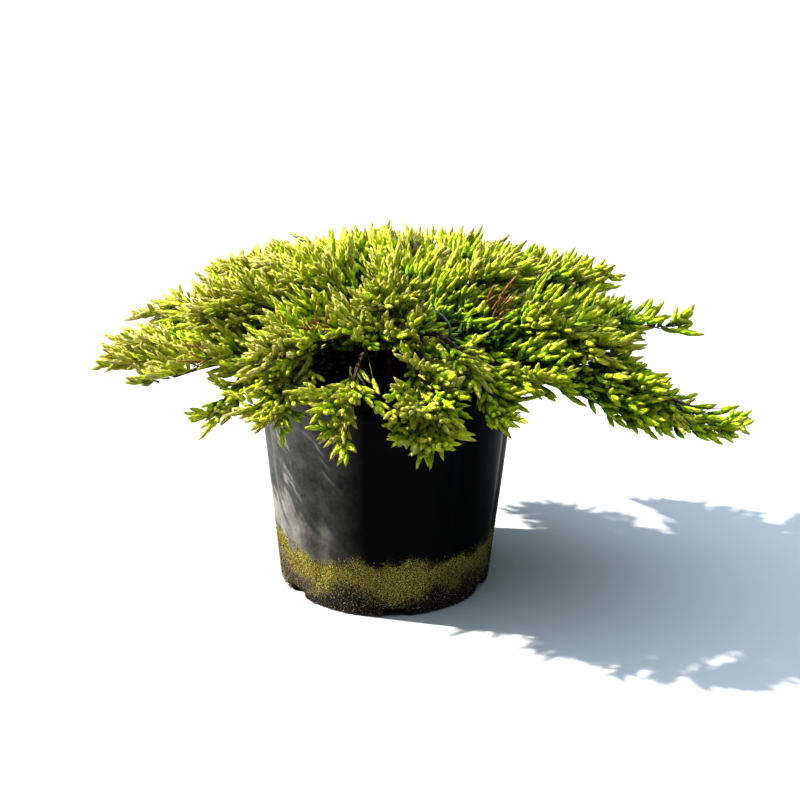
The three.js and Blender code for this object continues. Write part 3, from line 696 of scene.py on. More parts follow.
# %% Dome and leaders
DOME = {
    "top": 363, "left": 306, "right": 384, "front": 226, "back": 262, "fall": 116, "hem": 197,  # mm
    "flatness": 2.6,
}
OVERSTEP = 7  # mm that a shoot may be nearer to a neighbour's leader than to its own
TOP_FILL = 1.3  # the limbs of the top spread this much wider, to close over the middle
INNER_START = 0.2  # of a limb's bare share, where its foliage begins
LEADER_POINTS = 11
widths = np.array([limb["width"] * (TOP_FILL if "top" in name else 1) for name, limb in limbs.items()])
leaders = np.stack([
    along(lines[name], np.linspace(INNER_START * limb["bare"], 1, LEADER_POINTS))[0]
    for name, limb in limbs.items()
])


def dome_height(points):
    """The top, less the fall times the share of the way out to the power of the flatness."""
    x, y = points[:, 0], points[:, 1]
    outward = np.hypot(
        x / np.where(x < 0, DOME["left"], DOME["right"]), y / np.where(y < 0, DOME["front"], DOME["back"])
    )
    return DOME["top"] - DOME["fall"] * outward ** DOME["flatness"]


def envelope(share):
    """How wide a mass is on its way out: a half wave, to the power 0.7, slim at the tip."""
    return np.sin(np.pi * (0.16 + 0.76 * share)) ** 0.7


def leader_distances(points):
    """From each point to each leader: the least distance to its ten stretches, and how far out it is."""
    start, step = leaders[:, :-1], np.diff(leaders, axis=1)
    found, shares = [], []
    for few in np.array_split(points, len(points) // 4000 + 1):  # a few thousand at a time saves memory
        away = few[:, None, None] - start
        share = np.clip((away * step).sum(-1) / (step**2).sum(-1), 0, 1)
        distance = np.linalg.norm(away - share[..., None] * step, axis=-1)
        nearest = distance.argmin(-1)[..., None]
        found.append(np.take_along_axis(distance, nearest, -1)[..., 0])
        shares.append((np.take_along_axis(share, nearest, -1)[..., 0] + nearest[..., 0]) / step.shape[1])
    return np.concatenate(found), np.concatenate(shares)


def of_owner(table, owner):
    """From a row of numbers for each point, one to a leader, the number of the point's own leader."""
    return np.take_along_axis(table, owner[:, None], axis=1)[:, 0]


# %% [markdown]
# A crown isn't solid: its tiers leave hollows between them, where nothing lives but a bare twig, and its
# fronds stand apart with air round them. Each hollow is an ellipsoid that no shoot may end in.

# %% Hollows
# name: the middle, then the half sizes, mm
HOLLOWS = {
    "under_front_tier": (-30, -94, 276, 56, 34, 15),
    "under_front_tier_outer": (-40, -132, 291, 56, 42, 17),
    "between_front_tiers": (64, -84, 322, 28, 60, 30),
    "behind_front_tier": (-56, -92, 321, 15, 36, 11),
    "right_of_front_tier": (116, -120, 300, 32, 56, 17),
    "between_front_sprigs": (-20, -160, 238, 10, 50, 34),
    "right_of_front_sprig": (86, -160, 236, 12, 44, 26),
    "between_right_fronds": (296, -20, 270, 56, 70, 15),
    "over_right_frond": (352, -76, 254, 78, 60, 34),
    "upper_right": (330, 40, 312, 110, 90, 25),
    "past_right_frond": (338, 40, 276, 17, 60, 36),
    "over_right_tip": (362, -88, 244, 32, 60, 22),
    "under_right_tip": (358, -95, 187, 44, 60, 14),
    "upper_left": (-264, 40, 304, 84, 110, 35),
    "left_fork": (-200, -64, 236, 44, 50, 17),
    "under_left_frond": (-262, -10, 214, 70, 90, 22),
    "under_right_sprig": (166, -120, 208, 50, 70, 42),
    "under_left_sprig": (-142, -136, 190, 42, 54, 38),
    "under_lower_left_sprig": (-188, -76, 182, 58, 50, 26),
    "under_front_sprig": (40, -196, 184, 70, 56, 28),
    "crest_dip": (32, 40, 382, 42, 70, 37),
}
REACH = 4  # mm past the frame's box
CLEAR = {"wall": 8, "soil": 3, "lip": 3}  # mm between a shoot and the pot
box_low, box_high = (np.array(corner) / METRES for corner in cad_box)


def in_box(points):
    """Whether each point is in the frame's box, or past it by no more than the reach."""
    return ((points > box_low - REACH) & (points < box_high + REACH)).all(axis=1)


def is_free(points, owner):
    """Whether each point is under the dome, over the hem, off the pot, in no hollow and in its space."""
    distances, shares = leader_distances(points)
    own, out = of_owner(distances, owner), of_owner(shares, owner)
    radius, height, rim = np.hypot(points[:, 0], points[:, 1]), points[:, 2], pot_radius(POT["height"])
    in_space = (own - OVERSTEP < distances.min(axis=1)) & (own < widths[owner] * envelope(out))
    over_soil = (radius < rim - CLEAR["wall"]) & (height > SOIL["top"] + CLEAR["soil"])
    past_lip = (radius > rim + LIP["proud"] + CLEAR["lip"]) | (height > POT["height"] + CLEAR["lip"])
    filled = np.ones(len(points), bool)
    for x, y, z, across, deep, high in HOLLOWS.values():
        filled &= (((points - (x, y, z)) / (across, deep, high)) ** 2).sum(axis=1) > 1
    in_crown = (height < dome_height(points)) & (height > DOME["hem"]) & (over_soil | past_lip)
    return in_box(points) & in_space & filled & in_crown


# %% [markdown]
# The stem flares at the soil, and every limb tapers from where it forks off towards the tip of its
# leader, as far as its foliage hides it. They are one piece, because on the plant they are one.

# %% Stem and limbs
STEM_TUBE, BOUGH_TUBE = (28, 0.07), (12, 0.12)  # sides, and the relief as a share of the radius
LIMB_ROWS = (26, 42)  # the fewest and the most samples of a limb that are drawn


def stem_radii(share):
    """The straight taper plus the flare, which dies away as e to the minus share over its own length."""
    taper = STEM["radius"] + (STEM["top_radius"] - STEM["radius"]) * share
    return taper + STEM["flare"] * np.exp(-share / STEM["flare_share"])


def bough_radii(share):
    """From 4.4 mm at the fork to 1.2 mm at the tip, fast at first: the share to the power 0.7."""
    return BOUGH["radius"] + (BOUGH["tip_radius"] - BOUGH["radius"]) * share**0.7


steps = np.linspace(0, 1, SAMPLES)
woods = [tube(*doubled_ends(lines["stem"], stem_radii(steps)), *STEM_TUBE, 0.0)]
leafy_share = {}  # how far along each limb its foliage goes
for number, name in enumerate(limbs):
    last = np.flatnonzero(is_free(lines[name], np.full(SAMPLES, number))).max()
    leafy_share[name] = last / (SAMPLES - 1)
    rows = np.clip(last + 1, *LIMB_ROWS)
    bough = doubled_ends(lines[name][:rows], bough_radii(steps)[:rows])
    woods.append(tube(*bough, *BOUGH_TUBE, 1.7 * number))
wood_points, wood_faces = joined([(points, faces) for points, faces, _ in woods])
ridges = np.concatenate([ridge for _, _, ridge in woods])
make_piece(
    "stem_and_boughs", wood_points, wood_faces, juniper_bark(), "bark", smooth=True,
    replaces=["stem"] + ["bough_" + name for name in limbs], values={"ridge": ridges},
)

# %% [markdown]
# ## How a juniper branches
#
# A shoot is a start, a direction and a length, and it bends a little towards the light. The light for a
# shoot is up, away from the middle of the plant and away from its own leader, so every mass opens like a
# fan. Each order of shoot leaves the last by one rule: at even steps along its parent, to the left, the
# right and the bright side in turn, at a sharp angle. A shoot whose tip isn't free is cut shorter, and
# is left out if even the shortest isn't. Hair particles or geometry nodes could deal out the shoots too,
# but a rule on whole arrays grows every shoot of an order at once, and can ask whether its tip is free.

# %% Light and shoots
CUTS = (0.4, 0.55, 0.7, 0.85, 1.0)  # the shares of its length that a shoot may be cut to
LIGHT = {"outward": 0.8, "up": 0.5, "from_leader": 0.25, "axis": 40, "near": 30}  # the last two in mm


def light_at(points, owner):
    """Away from the pot's axis, up, and away from the nearest point of the shoot's own leader, added.

    The first fades out near the axis, and the last near the leader."""
    _, shares = leader_distances(points)
    place = of_owner(shares, owner) * (LEADER_POINTS - 1)
    low = np.minimum(place.astype(int), LEADER_POINTS - 2)
    part = (place - low)[:, None]
    foot = leaders[owner, low] * (1 - part) + leaders[owner, low + 1] * part
    outward = points * [1, 1, 0]
    outward = outward / (np.linalg.norm(outward, axis=1, keepdims=True) + LIGHT["axis"])
    away = (points - foot) / LIGHT["near"]
    away = away / np.maximum(np.linalg.norm(away, axis=1, keepdims=True), 1)
    return unit(LIGHT["outward"] * outward + LIGHT["up"] * UP + LIGHT["from_leader"] * away)


def make_shoots(start, direction, length, owner, curl, beyond):
    """Shoots cut to the longest of five shares of their length whose tip, and beyond, is free."""
    light = light_at(start, owner)
    best = np.zeros(len(start))
    for share in CUTS:
        reach = (length * share + beyond)[:, None]
        best = np.where(is_free(start + (direction + light * curl) * reach, owner), share, best)
    kept = best > 0
    return {
        "start": start[kept], "direction": direction[kept], "light": light[kept],
        "length": (length * best)[kept], "owner": owner[kept], "curl": np.full(kept.sum(), curl),
    }


def on_shoots(shoots, index, share):
    """Start + direction * way + light * curl * share * way: a point of a shoot, and its tangent."""
    way = (shoots["length"][index] * share)[:, None]
    bend = (shoots["curl"][index] * share)[:, None] * shoots["light"][index]
    place = shoots["start"][index] + (shoots["direction"][index] + bend) * way
    return place, unit(shoots["direction"][index] + 2 * bend)


def tips_of(shoots):
    """Every shoot's number, its tip and its direction there."""
    every = np.arange(len(shoots["length"]))
    return every, *on_shoots(shoots, every, np.ones(len(every)))


# %% Branching
SCATTER = {"turn": 14, "lean": 6}  # degrees


def rolled(face, across, roll, count, index=slice(None)):
    """Two directions square to a shoot, turned together by up to the roll in degrees, either way."""
    turn = np.radians(roll * (2 * random.random(count) - 1))[index][:, None]
    return face * np.cos(turn) + across * np.sin(turn), across * np.cos(turn) - face * np.sin(turn)


def face_of(tangent, light, roll):
    """The side of a shoot that looks at the light: the light squared off against it, rolled at random."""
    face = unit(light - tangent * (light * tangent).sum(-1, keepdims=True))
    return rolled(face, np.cross(face, tangent), roll, len(tangent))[0]


def branch(parents, habit):
    """Places for children: at even steps, to the sides that turns names in a cycle, bent to the light."""
    counts = np.maximum(1, np.round(parents["length"] / habit["spacing"])).astype(int)
    index = np.repeat(np.arange(len(counts)), counts)
    order = np.arange(counts.sum()) - np.repeat(np.cumsum(counts) - counts, counts)
    first = habit["first"]
    share = first + (1 - first) * (order + varied(len(order), 0.3, 0.4)) / counts[index]
    start, tangent = on_shoots(parents, index, share)
    light = parents["light"][index]
    face = face_of(tangent, light, 0)
    face, across = rolled(face, np.cross(face, tangent), habit["roll"], len(counts), index)
    turn = np.take(habit["turns"], order, mode="wrap") + random.normal(0, SCATTER["turn"], len(order))
    turn = np.radians(turn)[:, None]
    out = across * np.cos(turn) + face * np.sin(turn)
    lean = np.radians(habit["angle"] + random.normal(0, SCATTER["lean"], len(order)))[:, None]
    direction = unit(tangent * np.cos(lean) + out * np.sin(lean) + habit["seek"] * light)
    return index, share, start, direction


# %% [markdown]
# First come the side twigs of every leader. They leave it in a spiral, long to the sides, shorter above
# and shortest below, and broadest in the middle of the mass. A twig stops short of its mass's edge, so
# that the shoots on it end there. In the rear masses it runs on further, which fills the back.

# %% Side twigs
TWIG = {
    "spacing": 5.6, "spiral": 137.5, "angle": 48, "closing": 12, "rise": 0.12, "curl": 0.12, "last": 0.99,
    "above": 0.55, "below": 0.2, "hang": 0.5, "clad": 22, "clad_rear": 4,  # mm that its shoots add to it
    "shortest": 9, "beyond": 18,
}
TWIG_END = {"back": 74, "length": 20.0}  # mm: the twig that ends a leader, and how far back it starts
SKIRT = ("frond", "sprig")  # limbs with these in their names droop over the rim
# a limb that sags droops its twigs, and is fuller below than above
SAGGING = {"right_low_frond": {"rise": -0.3, "below": 0.95}}


def side_twigs(number, name):
    """The start, direction and length of one limb's side twigs, and the limb's number for each."""
    line, sagging = lines[name], SAGGING.get(name, {})
    length = np.linalg.norm(np.diff(line, axis=0), axis=1).sum()
    first = limbs[name]["bare"] * INNER_START
    count = int((1 - first) * length / TWIG["spacing"])
    order = np.arange(count)
    share = (order + 0.5) / count
    place = first + (TWIG["last"] - first) * share
    start, tangent = along(line, place)
    turn = np.radians(TWIG["spiral"] * order + 40 * number) + 0.4 * (random.random(count) - 0.5)
    flat = unit(np.cross(tangent, UP))
    over = np.cross(flat, tangent)
    out = flat * np.cos(turn)[:, None] + over * np.sin(turn)[:, None]
    angle = np.radians(TWIG["angle"] - TWIG["closing"] * share)[:, None]
    direction = unit(tangent * np.cos(angle) + out * np.sin(angle) + UP * sagging.get("rise", TWIG["rise"]))
    below = TWIG["hang"] if any(word in name for word in SKIRT) else TWIG["below"]
    flatness = np.where(np.sin(turn) > 0, TWIG["above"], sagging.get("below", below))
    side = np.cos(turn) ** 2 + (1 - np.cos(turn) ** 2) * flatness
    reach = widths[number] * envelope(share) * side * varied(count, 0.85, 0.3)
    reach -= TWIG["clad_rear"] if "rear" in name else TWIG["clad"]
    kept = place < leafy_share[name]
    return start[kept], direction[kept], reach[kept], np.full(kept.sum(), number)


grown = [side_twigs(number, name) for number, name in enumerate(limbs)]
starts, directions, lengths, owners = (np.concatenate(parts) for parts in zip(*grown))
lengths = np.maximum(lengths, TWIG["shortest"])
twigs = make_shoots(starts, directions, lengths, owners, TWIG["curl"], TWIG["beyond"])
tips, tangents = (
    np.concatenate(parts) for parts in zip(*(along(lines[name], np.array([1.0])) for name in limbs))
)
ends = make_shoots(
    tips - tangents * TWIG_END["back"], tangents, np.full(len(limbs), TWIG_END["length"]),
    np.arange(len(limbs)), 0.0, 0,
)
twigs = {key: np.concatenate([twigs[key], ends[key]]) for key in twigs}
print(len(twigs["length"]), "twigs, of", round(twigs["length"].mean()), "mm on average")

# %% [markdown]
# The twigs carry branchlets, and each branchlet is the rib of a small fan. The end of a twig is its
# last branchlet, so the fans close round it.

# %% Branchlets
BRANCHLET = {
    "spacing": 9.0, "first": 0.1, "turns": (0, 180, 0, 180, 80), "angle": 36, "seek": 0.15, "roll": 30,
    "curl": 0.12, "length": 30, "end": (16, 8), "beyond": 10,
}


def branchlets_of(twigs):
    """Branchlets along each twig and one that carries on from its tip, shorter towards the tip."""
    index, share, start, direction = branch(twigs, BRANCHLET)
    length = BRANCHLET["length"] * (1.05 - 0.45 * share) * varied(len(share), 0.75, 0.5)
    length = np.minimum(length, 10 + 0.75 * twigs["length"][index])
    every, tip, tangent = tips_of(twigs)
    end_length = varied(len(every), *BRANCHLET["end"])
    start, direction = np.concatenate([start, tip]), np.concatenate([direction, tangent])
    length, owner = np.concatenate([length, end_length]), twigs["owner"][np.concatenate([index, every])]
    return make_shoots(start, direction, length, owner, BRANCHLET["curl"], BRANCHLET["beyond"])


branchlets = branchlets_of(twigs)
print(len(branchlets["length"]), "branchlets")

# %% [markdown]
# The last order is what the eye sees: the finger, a shoot 12 to 30 mm long and 6 mm thick, clad in small
# awl shaped leaves. Side fingers point forward along the fan, and a longer one ends it. A finger may
# poke out of its mass's space by its tip, which keeps the outline loose.

# %% Fingers
FINGER = {
    "spacing": 5.2, "first": 0.02, "turns": (0, 180, 90, 0, 180), "angle": 36, "seek": 0.12, "roll": 30,
    "curl": 0.12, "length": 20, "end": 24, "radius": 3.1, "back": 2, "face_roll": 60,
    "inside": (0.35, 0.45),  # the share of its length that has to be free
}


def fingers_of(branchlets):
    """Fingers along each branchlet and one at its end, with a face, a radius and their fan's number."""
    index, share, start, direction = branch(branchlets, FINGER)
    length = FINGER["length"] * (1.1 - 0.35 * share) * varied(len(share), 0.8, 0.4)
    every, tip, tangent = tips_of(branchlets)
    length = np.concatenate([length, FINGER["end"] * varied(len(every), 0.75, 0.55)])
    start = np.concatenate([start, tip - tangent * FINGER["back"]])
    direction, fan = np.concatenate([direction, tangent]), np.concatenate([index, every])
    owner = branchlets["owner"][fan]
    light = light_at(start, owner)
    inside = length * varied(len(length), *FINGER["inside"])
    free = is_free(start + direction * inside[:, None], owner) & in_box(start + direction * length[:, None])
    found = {
        "start": start, "direction": direction, "length": length, "fan": fan, "owner": owner,
        "face": face_of(direction, light, FINGER["face_roll"]),
        "radius": FINGER["radius"] * varied(len(fan), 0.85, 0.25),
    }
    return {key: values[free] for key, values in found.items()}


fingers = fingers_of(branchlets)
leafy = np.unique(fingers["fan"])
print(len(fingers["length"]), "fingers on", len(leafy), "branchlets")

# %% [markdown]
# ## One finger
#
# The leaves stand in threes, each three turned against the last, and lie forward over the next. A real
# one is a millimetre wide; these are drawn as coarse as they have to be to show. A leaf is four faces:
# two points at its foot, a keel along its back and a sharp tip. Under the leaves runs a five sided core,
# which closes the gaps between them. The finger is one unit long and one unit round, and is stretched
# and bent into place for each of the thousands of fingers at once. Instances would be lighter, but each
# leaf here takes a tint by its own place in the crown.

# %% A finger's leaves and core
# the half angle in radians, the overlap in steps from one three to the next, the rest as shares of girth
LEAF = {"half_angle": 0.85, "sunk": 0.8, "overlap": 2.2, "flare": 1.08, "last_tip": 0.45}
LEAF_FACES = np.array([(0, 1, 2), (0, 2, 3), (0, 3, 1), (1, 3, 2)])
CORE = {"sides": 5, "rings": (0.02, 0.4, 0.8), "girth": 0.93, "foot": -0.02, "tip": 0.98}
CORE_FACES = 2 * CORE["sides"] * len(CORE["rings"])


def finger_girth(share):
    """0.58 plus a half wave, less a fall with the cube of the share: slim, full, then tapered."""
    share = np.clip(share, 0, 1)
    return 0.58 + 0.42 * np.sin(np.pi * share**0.8) - 0.34 * share**3


def ring_points(share, angle, radius):
    """Points (share, radius * cos, radius * sin): along the finger's axis first, then across it."""
    return np.stack([share + 0 * angle, radius * np.cos(angle), radius * np.sin(angle)], axis=-1)


def finger_leaves(whorls):
    """So many threes of leaves: foot, keel and tip of each at even steps, every other three turned."""
    step = 1 / (whorls + 0.5 * LEAF["overlap"])
    whorl, leaf = (grid.ravel() for grid in np.meshgrid(np.arange(whorls), np.arange(3), indexing="ij"))
    angle = 2 * np.pi * leaf / 3 + np.pi / 3 * (whorl % 2)
    foot, end = whorl * step, whorl * step + LEAF["overlap"] * step
    middle = (foot + end) / 2
    base = LEAF["sunk"] * finger_girth(foot)
    tip = LEAF["flare"] * finger_girth(end) * (1 - LEAF["last_tip"] * (whorl == whorls - 1))
    corners = np.stack([
        ring_points(foot, angle - LEAF["half_angle"], base),
        ring_points(foot, angle + LEAF["half_angle"], base),
        ring_points(middle, angle, finger_girth(middle)),
        ring_points(end, angle, tip),
    ], axis=1)
    faces = 4 * np.arange(len(whorl))[:, None, None] + LEAF_FACES
    return corners.reshape(-1, 3), faces.reshape(-1, 3)


def finger_core():
    """Three rings of the finger's girth between a point at its foot and one at its tip."""
    sides, rings = CORE["sides"], len(CORE["rings"])
    turn = 2 * np.pi * np.arange(sides) / sides
    circles = [ring_points(share, turn, CORE["girth"] * finger_girth(share)) for share in CORE["rings"]]
    points = np.concatenate([[[CORE["foot"], 0, 0]], *circles, [[CORE["tip"], 0, 0]]])
    here, beside = np.arange(sides), (np.arange(sides) + 1) % sides
    faces = [np.stack([0 * here, 1 + beside, 1 + here], axis=1)]
    for low in 1 + sides * np.arange(rings - 1):
        high = low + sides
        faces.append(np.stack([low + here, low + beside, high + beside], axis=1))
        faces.append(np.stack([low + here, high + beside, high + here], axis=1))
    faces.append(np.stack([high + here, high + beside, 0 * here + len(points) - 1], axis=1))
    return points, np.concatenate(faces)


# %% The whole finger
def finger_shape(whorls):
    """The points and faces of a finger with so many threes of leaves, and where each face's middle is."""
    points, faces = joined([finger_leaves(whorls), finger_core()])
    return points, faces, points[faces].mean(axis=1)


def signed_volume(points, faces):
    """A sixth of the sum of the triple products: positive if the faces look outwards."""
    a, b, c = points[faces].transpose(1, 0, 2)
    return (np.cross(a, b) * c).sum() / 6


leaf_points, leaf_faces = finger_leaves(5)
print("a finger of 5 threes has", len(leaf_faces) + CORE_FACES, "triangles")
volumes = signed_volume(leaf_points, leaf_faces[:4]), signed_volume(*finger_core())
print("volumes of a leaf and of the core, in units:", np.round(volumes, 4))

# %% [markdown]
# ## Tints
#
# A golden juniper is brightest where it is youngest and where the sun reaches it: the tips are yellow,
# the middles lime, the undersides and the old bases deep green, and inside the crown the gold never
# comes. The darker undersides and inside of the crown and the paler side towards the sun are partly
# the plant's own colour and partly painted shade and painted sunlight. The tint is dealt out leaf by
# leaf: from how far out on its finger a leaf is, whether it looks up, and how deep in the crown, how far
# along its limb and on which side the finger sits, with a little chance for each fan and each leaf. One
# material could read an attribute, but a plain colour to each tint survives any export, so every tint is
# a plain colour with pieces of its own.

# %% Shoot colours
TINTS = {
    "shaded": "#142106", "deep": "#314a0c", "green": "#88a818", "lime": "#afb829", "gold": "#a8a44b",
    "pale": "#aca468",
}
DEAD_COLOUR = "#9a7448"
# name: the middle and how far round it the shoots have died, mm
DEAD_SPOTS = {
    "right_of_crest": (106, -46, 320, 24), "front_left": (-66, -112, 318, 14), "left": (-188, -76, 281, 13),
}
DEAD, SHRUNK = 99.0, 0.5  # a dead finger's vigour, which no live one has, and its share of the girth
# how golden a leaf is, from 0 to 1, partly its own colour and partly painted light and shade: where it
# starts, and what each cause takes or adds
# depth, deepest and outer darken the inside of the crown: partly older leaves, partly painted shade
TINT = {
    "start": 0.74, "depth": 0.48, "deepest": 110, "outer": 0.75, "tip": 0.38, "upper": 0.06, "core": 0.06,
    "fan": 0.08, "leaf": 0.012,
}
# the side towards the sun's azimuth is made more golden: partly the plant's own habit, partly painted
# sunlight
SUNNY_SIDE = {"azimuth": 172, "share": 0.08, "reach": 250}  # the side that has stood to the sun


def juniper_leaf(name, colour):
    """A live juniper leaf: waxy but dulled by its pores, IOR 1.45, roughness 0.55, toothed as finely."""
    material, tree, shader = new_material("juniper_" + name, colour, 0.55, 1.45)
    shader.inputs["Specular IOR Level"].default_value = 0.2
    place = add_node(tree, "ShaderNodeTexCoord").outputs["Object"]
    pores = add_node(
        tree, "ShaderNodeTexNoise", {"Scale": 1 / (1.1 * METRES), "Detail": 2}, {"Vector": place}
    )
    bump = add_node(
        tree, "ShaderNodeBump", {"Strength": 0.35, "Distance": 0.4 * METRES}, {"Height": pores.outputs["Fac"]}
    )
    tree.links.new(bump.outputs["Normal"], shader.inputs["Normal"])
    return material


def vigour_and_light_of(fingers, depth):
    """The start, less the depth's share, which is partly painted shade, plus chance for each fan, plus the
    sunny side's share, which is partly painted sunlight.
    """
    fan_chance = random.normal(0, TINT["fan"], len(branchlets["length"]))
    far_out = of_owner(leader_distances(fingers["start"])[1], fingers["owner"])
    # deeper in the crown the tint goes darker: partly older leaves, partly painted shade
    inside = np.clip(depth / TINT["deepest"], 0, 1) * (1 - TINT["outer"] * far_out)
    vigour_and_light = TINT["start"] - TINT["depth"] * inside + fan_chance[fingers["fan"]]
    # the side towards the sun is paler: painted sunlight as well as the plant's own habit
    sunny = np.radians(SUNNY_SIDE["azimuth"])
    out = fingers["start"] / SUNNY_SIDE["reach"]
    vigour_and_light += SUNNY_SIDE["share"] * out @ [np.cos(sunny), np.sin(sunny), 0]
    for *middle, reach in DEAD_SPOTS.values():
        vigour_and_light[np.linalg.norm(fingers["start"] - middle, axis=1) < reach] = DEAD
    return vigour_and_light


depth = dome_height(fingers["start"]) - fingers["start"][:, 2]
vigour_and_light = vigour_and_light_of(fingers, depth)
fingers["radius"] = np.where(vigour_and_light == DEAD, SHRUNK, 1) * fingers["radius"]
print((vigour_and_light == DEAD).sum(), "dead fingers")
print("the fingers sit", np.round(np.percentile(depth, (10, 50, 90))), "mm under the dome")


# %% [markdown]
# Fingers of a like length have the same number of threes, so a whole batch is placed at once: the
# shape's three axes are laid along the finger, across it and towards its face. The leaves get the rest
# of their tint here, where each of them knows its place on the finger.

# %% Place every finger
WHORL_LENGTH, FEWEST, MOST = 5, 3, 6  # mm of finger to a three of leaves, and the limits of their number


def leaf_vigour_and_light(vigour_and_light, middles):
    """Each finger's vigour and light for each face: more at the tip, more on top (partly painted light), less
    on the core, and chance.
    """
    # leaves on the side that looks at the light are paler: partly the plant's habit, partly painted light
    own = TINT["tip"] * (middles[:, 0] - 0.5) + TINT["upper"] * middles[:, 2]
    leaf_count = len(middles) - CORE_FACES
    own[:leaf_count] = np.repeat(own[:leaf_count].reshape(-1, 4).mean(axis=1), 4)
    own[leaf_count:] -= TINT["core"]
    chance = np.repeat(random.normal(0, TINT["leaf"], (len(vigour_and_light), len(middles) // 4 + 1)), 4, axis=1)
    return vigour_and_light[:, None] + own[None] + chance[:, : len(middles)]


def placed_fingers(chosen, whorls):
    """All chosen fingers from one shape: along its direction, across it, and bent to its face."""
    points, faces, middles = finger_shape(whorls)
    start, along_axis, face = (fingers[key][chosen][:, None] for key in ("start", "direction", "face"))
    length, radius = (fingers[key][chosen][:, None, None] for key in ("length", "radius"))
    across = np.cross(face, along_axis)
    x, y, z = (points[:, axis][None, :, None] for axis in range(3))
    bend = FINGER["curl"] * length * x**2
    placed = start + along_axis * length * x + across * radius * y + face * (radius * z + bend)
    all_faces = faces[None] + (np.arange(len(chosen)) * len(points))[:, None, None]
    tint = leaf_vigour_and_light(vigour_and_light[chosen], middles)
    return placed.reshape(-1, 3), all_faces.reshape(-1, 3), tint.ravel()


whorls = np.clip(np.round(fingers["length"] / WHORL_LENGTH), FEWEST, MOST).astype(int)
batches = [placed_fingers(np.flatnonzero(whorls == count), count) for count in np.unique(whorls)]
all_points, all_faces = joined([(points, faces) for points, faces, _ in batches])
tints = np.concatenate([tint for _, _, tint in batches])
level = np.clip((tints * len(TINTS)).astype(int), 0, len(TINTS) - 1)
level[tints > DEAD / 2] = len(TINTS)
print(len(all_faces), "triangles of leaves, by tint", np.bincount(level))

# %% [markdown]
# A piece stays under 200,000 triangles, so a tint that has more is dealt over several pieces. Points
# that a piece doesn't use are left out of it.

# %% Pieces of foliage
MOST_TRIANGLES = 190000


def compact(points, faces):
    """Only the points that the faces use, and the faces renumbered to match."""
    used, renumbered = np.unique(faces, return_inverse=True)
    return points[used], renumbered.reshape(faces.shape)


masses = ["foliage_" + name for name in limbs]
for number, (name, colour) in enumerate([*TINTS.items(), ("dead", DEAD_COLOUR)]):
    material = juniper_leaf(name, colour)
    faces_here = all_faces[level == number]
    for part, few in enumerate(np.array_split(faces_here, len(faces_here) // MOST_TRIANGLES + 1), 1):
        shape = compact(all_points, few)
        make_piece(f"shoots_{name}_{part}", *shape, material, "foliage", smooth=True, replaces=masses)

# %% [markdown]
# ## Twigs
#
# The twigs and branchlets are thin wood: brown near the limb and green under the youngest leaves. Curves
# with a bevel would do for a few. Here all of them are made at once, as an array of rings for each shoot.

# %% Twig piece
# a tube's radius at its foot and its end in mm, its rings and its sides
TWIG_TUBE, BRANCHLET_TUBE = (1.3, 0.5, 5, 5), (0.7, 0.2, 3, 4)


def many_tubes(shoots, radius, end_radius, rings, sides):
    """Rings along every shoot at once, thinner towards its end."""
    count, share = len(shoots["length"]), np.linspace(0, 1, rings)
    centre, tangent = on_shoots(shoots, np.repeat(np.arange(count), rings), np.tile(share, count))
    level_side = unit(np.cross(tangent, UP) + 1e-6)
    over = np.cross(level_side, tangent)
    angle = np.linspace(0, 2 * np.pi, sides, endpoint=False)[None, :, None]
    girth = np.tile(radius + (end_radius - radius) * share, count)[:, None, None]
    ring = np.cos(angle) * level_side[:, None] + np.sin(angle) * over[:, None]
    points = (centre[:, None] + ring * girth).reshape(-1, 3)
    faces = grid_faces(rings, sides)[:, ::-1]
    return points, (faces[None] + (np.arange(count) * rings * sides)[:, None, None]).reshape(-1, 4)


# a young juniper twig has smooth thin bark, red brown with a green cast that comes and goes over 6 mm
twig_bark = mottled("juniper_twig", "#5a4428", 0.7, 6, 3, ((0.35, "#4a3216"), (0.6, "#64651f")))[0]
clad = {key: values[leafy] for key, values in branchlets.items()}
twig_shape = joined([many_tubes(twigs, *TWIG_TUBE), many_tubes(clad, *BRANCHLET_TUBE)])
make_piece("twigs", *twig_shape, twig_bark, "bark", smooth=True, replaces=masses)

# %% [markdown]
# In one hollow a dead twig is left, weathered to a blue grey. It springs from the nearest limb, bows out
# and curls back, so it is the same curve and the same tube as a limb's, but slimmer.

# %% Bare twig
BARE_TWIG = {"foot_near": (60, -62, 284), "bow": (74, -80, 308), "tip": (48, -82, 328), "radii": (2.1, 1.0)}
BARE_ROWS = 25

# dead juniper wood without its bark is silver grey, blue in the shade, matt, with a fine grain
grey_wood = mottled("weathered_wood", "#8b90a0", 0.8, 1.5, 3, ((0.35, "#5b6070"), (0.7, "#a4a9b8")))[0]
limb_points = np.concatenate([lines[name] for name in limbs])
to_foot = np.linalg.norm(limb_points - BARE_TWIG["foot_near"], axis=1)
twig_foot = limb_points[to_foot.argmin()]
twig_line = bezier(twig_foot, np.array(BARE_TWIG["bow"]), np.array(BARE_TWIG["tip"]), BARE_ROWS)
twig_ends = doubled_ends(twig_line, np.linspace(*BARE_TWIG["radii"], BARE_ROWS))
bare_points, bare_faces, _ = tube(*twig_ends, 7, 0.08, 0.4)
make_piece("bare_twig", bare_points, bare_faces, grey_wood, "bark", smooth=True, replaces=masses)
print("the bare twig springs from", np.round(twig_foot))

# %% [markdown]
# ## The floor, the light and the camera
#
# The plant stands on a plain pale floor. A studio sun from the upper left, a little behind, gives the
# crown its bright tips and throws the shadow to the right. A broad softbox overhead and an even sky fill
# the shade. The camera looks down 22 degrees with a 90 mm lens from two metres.

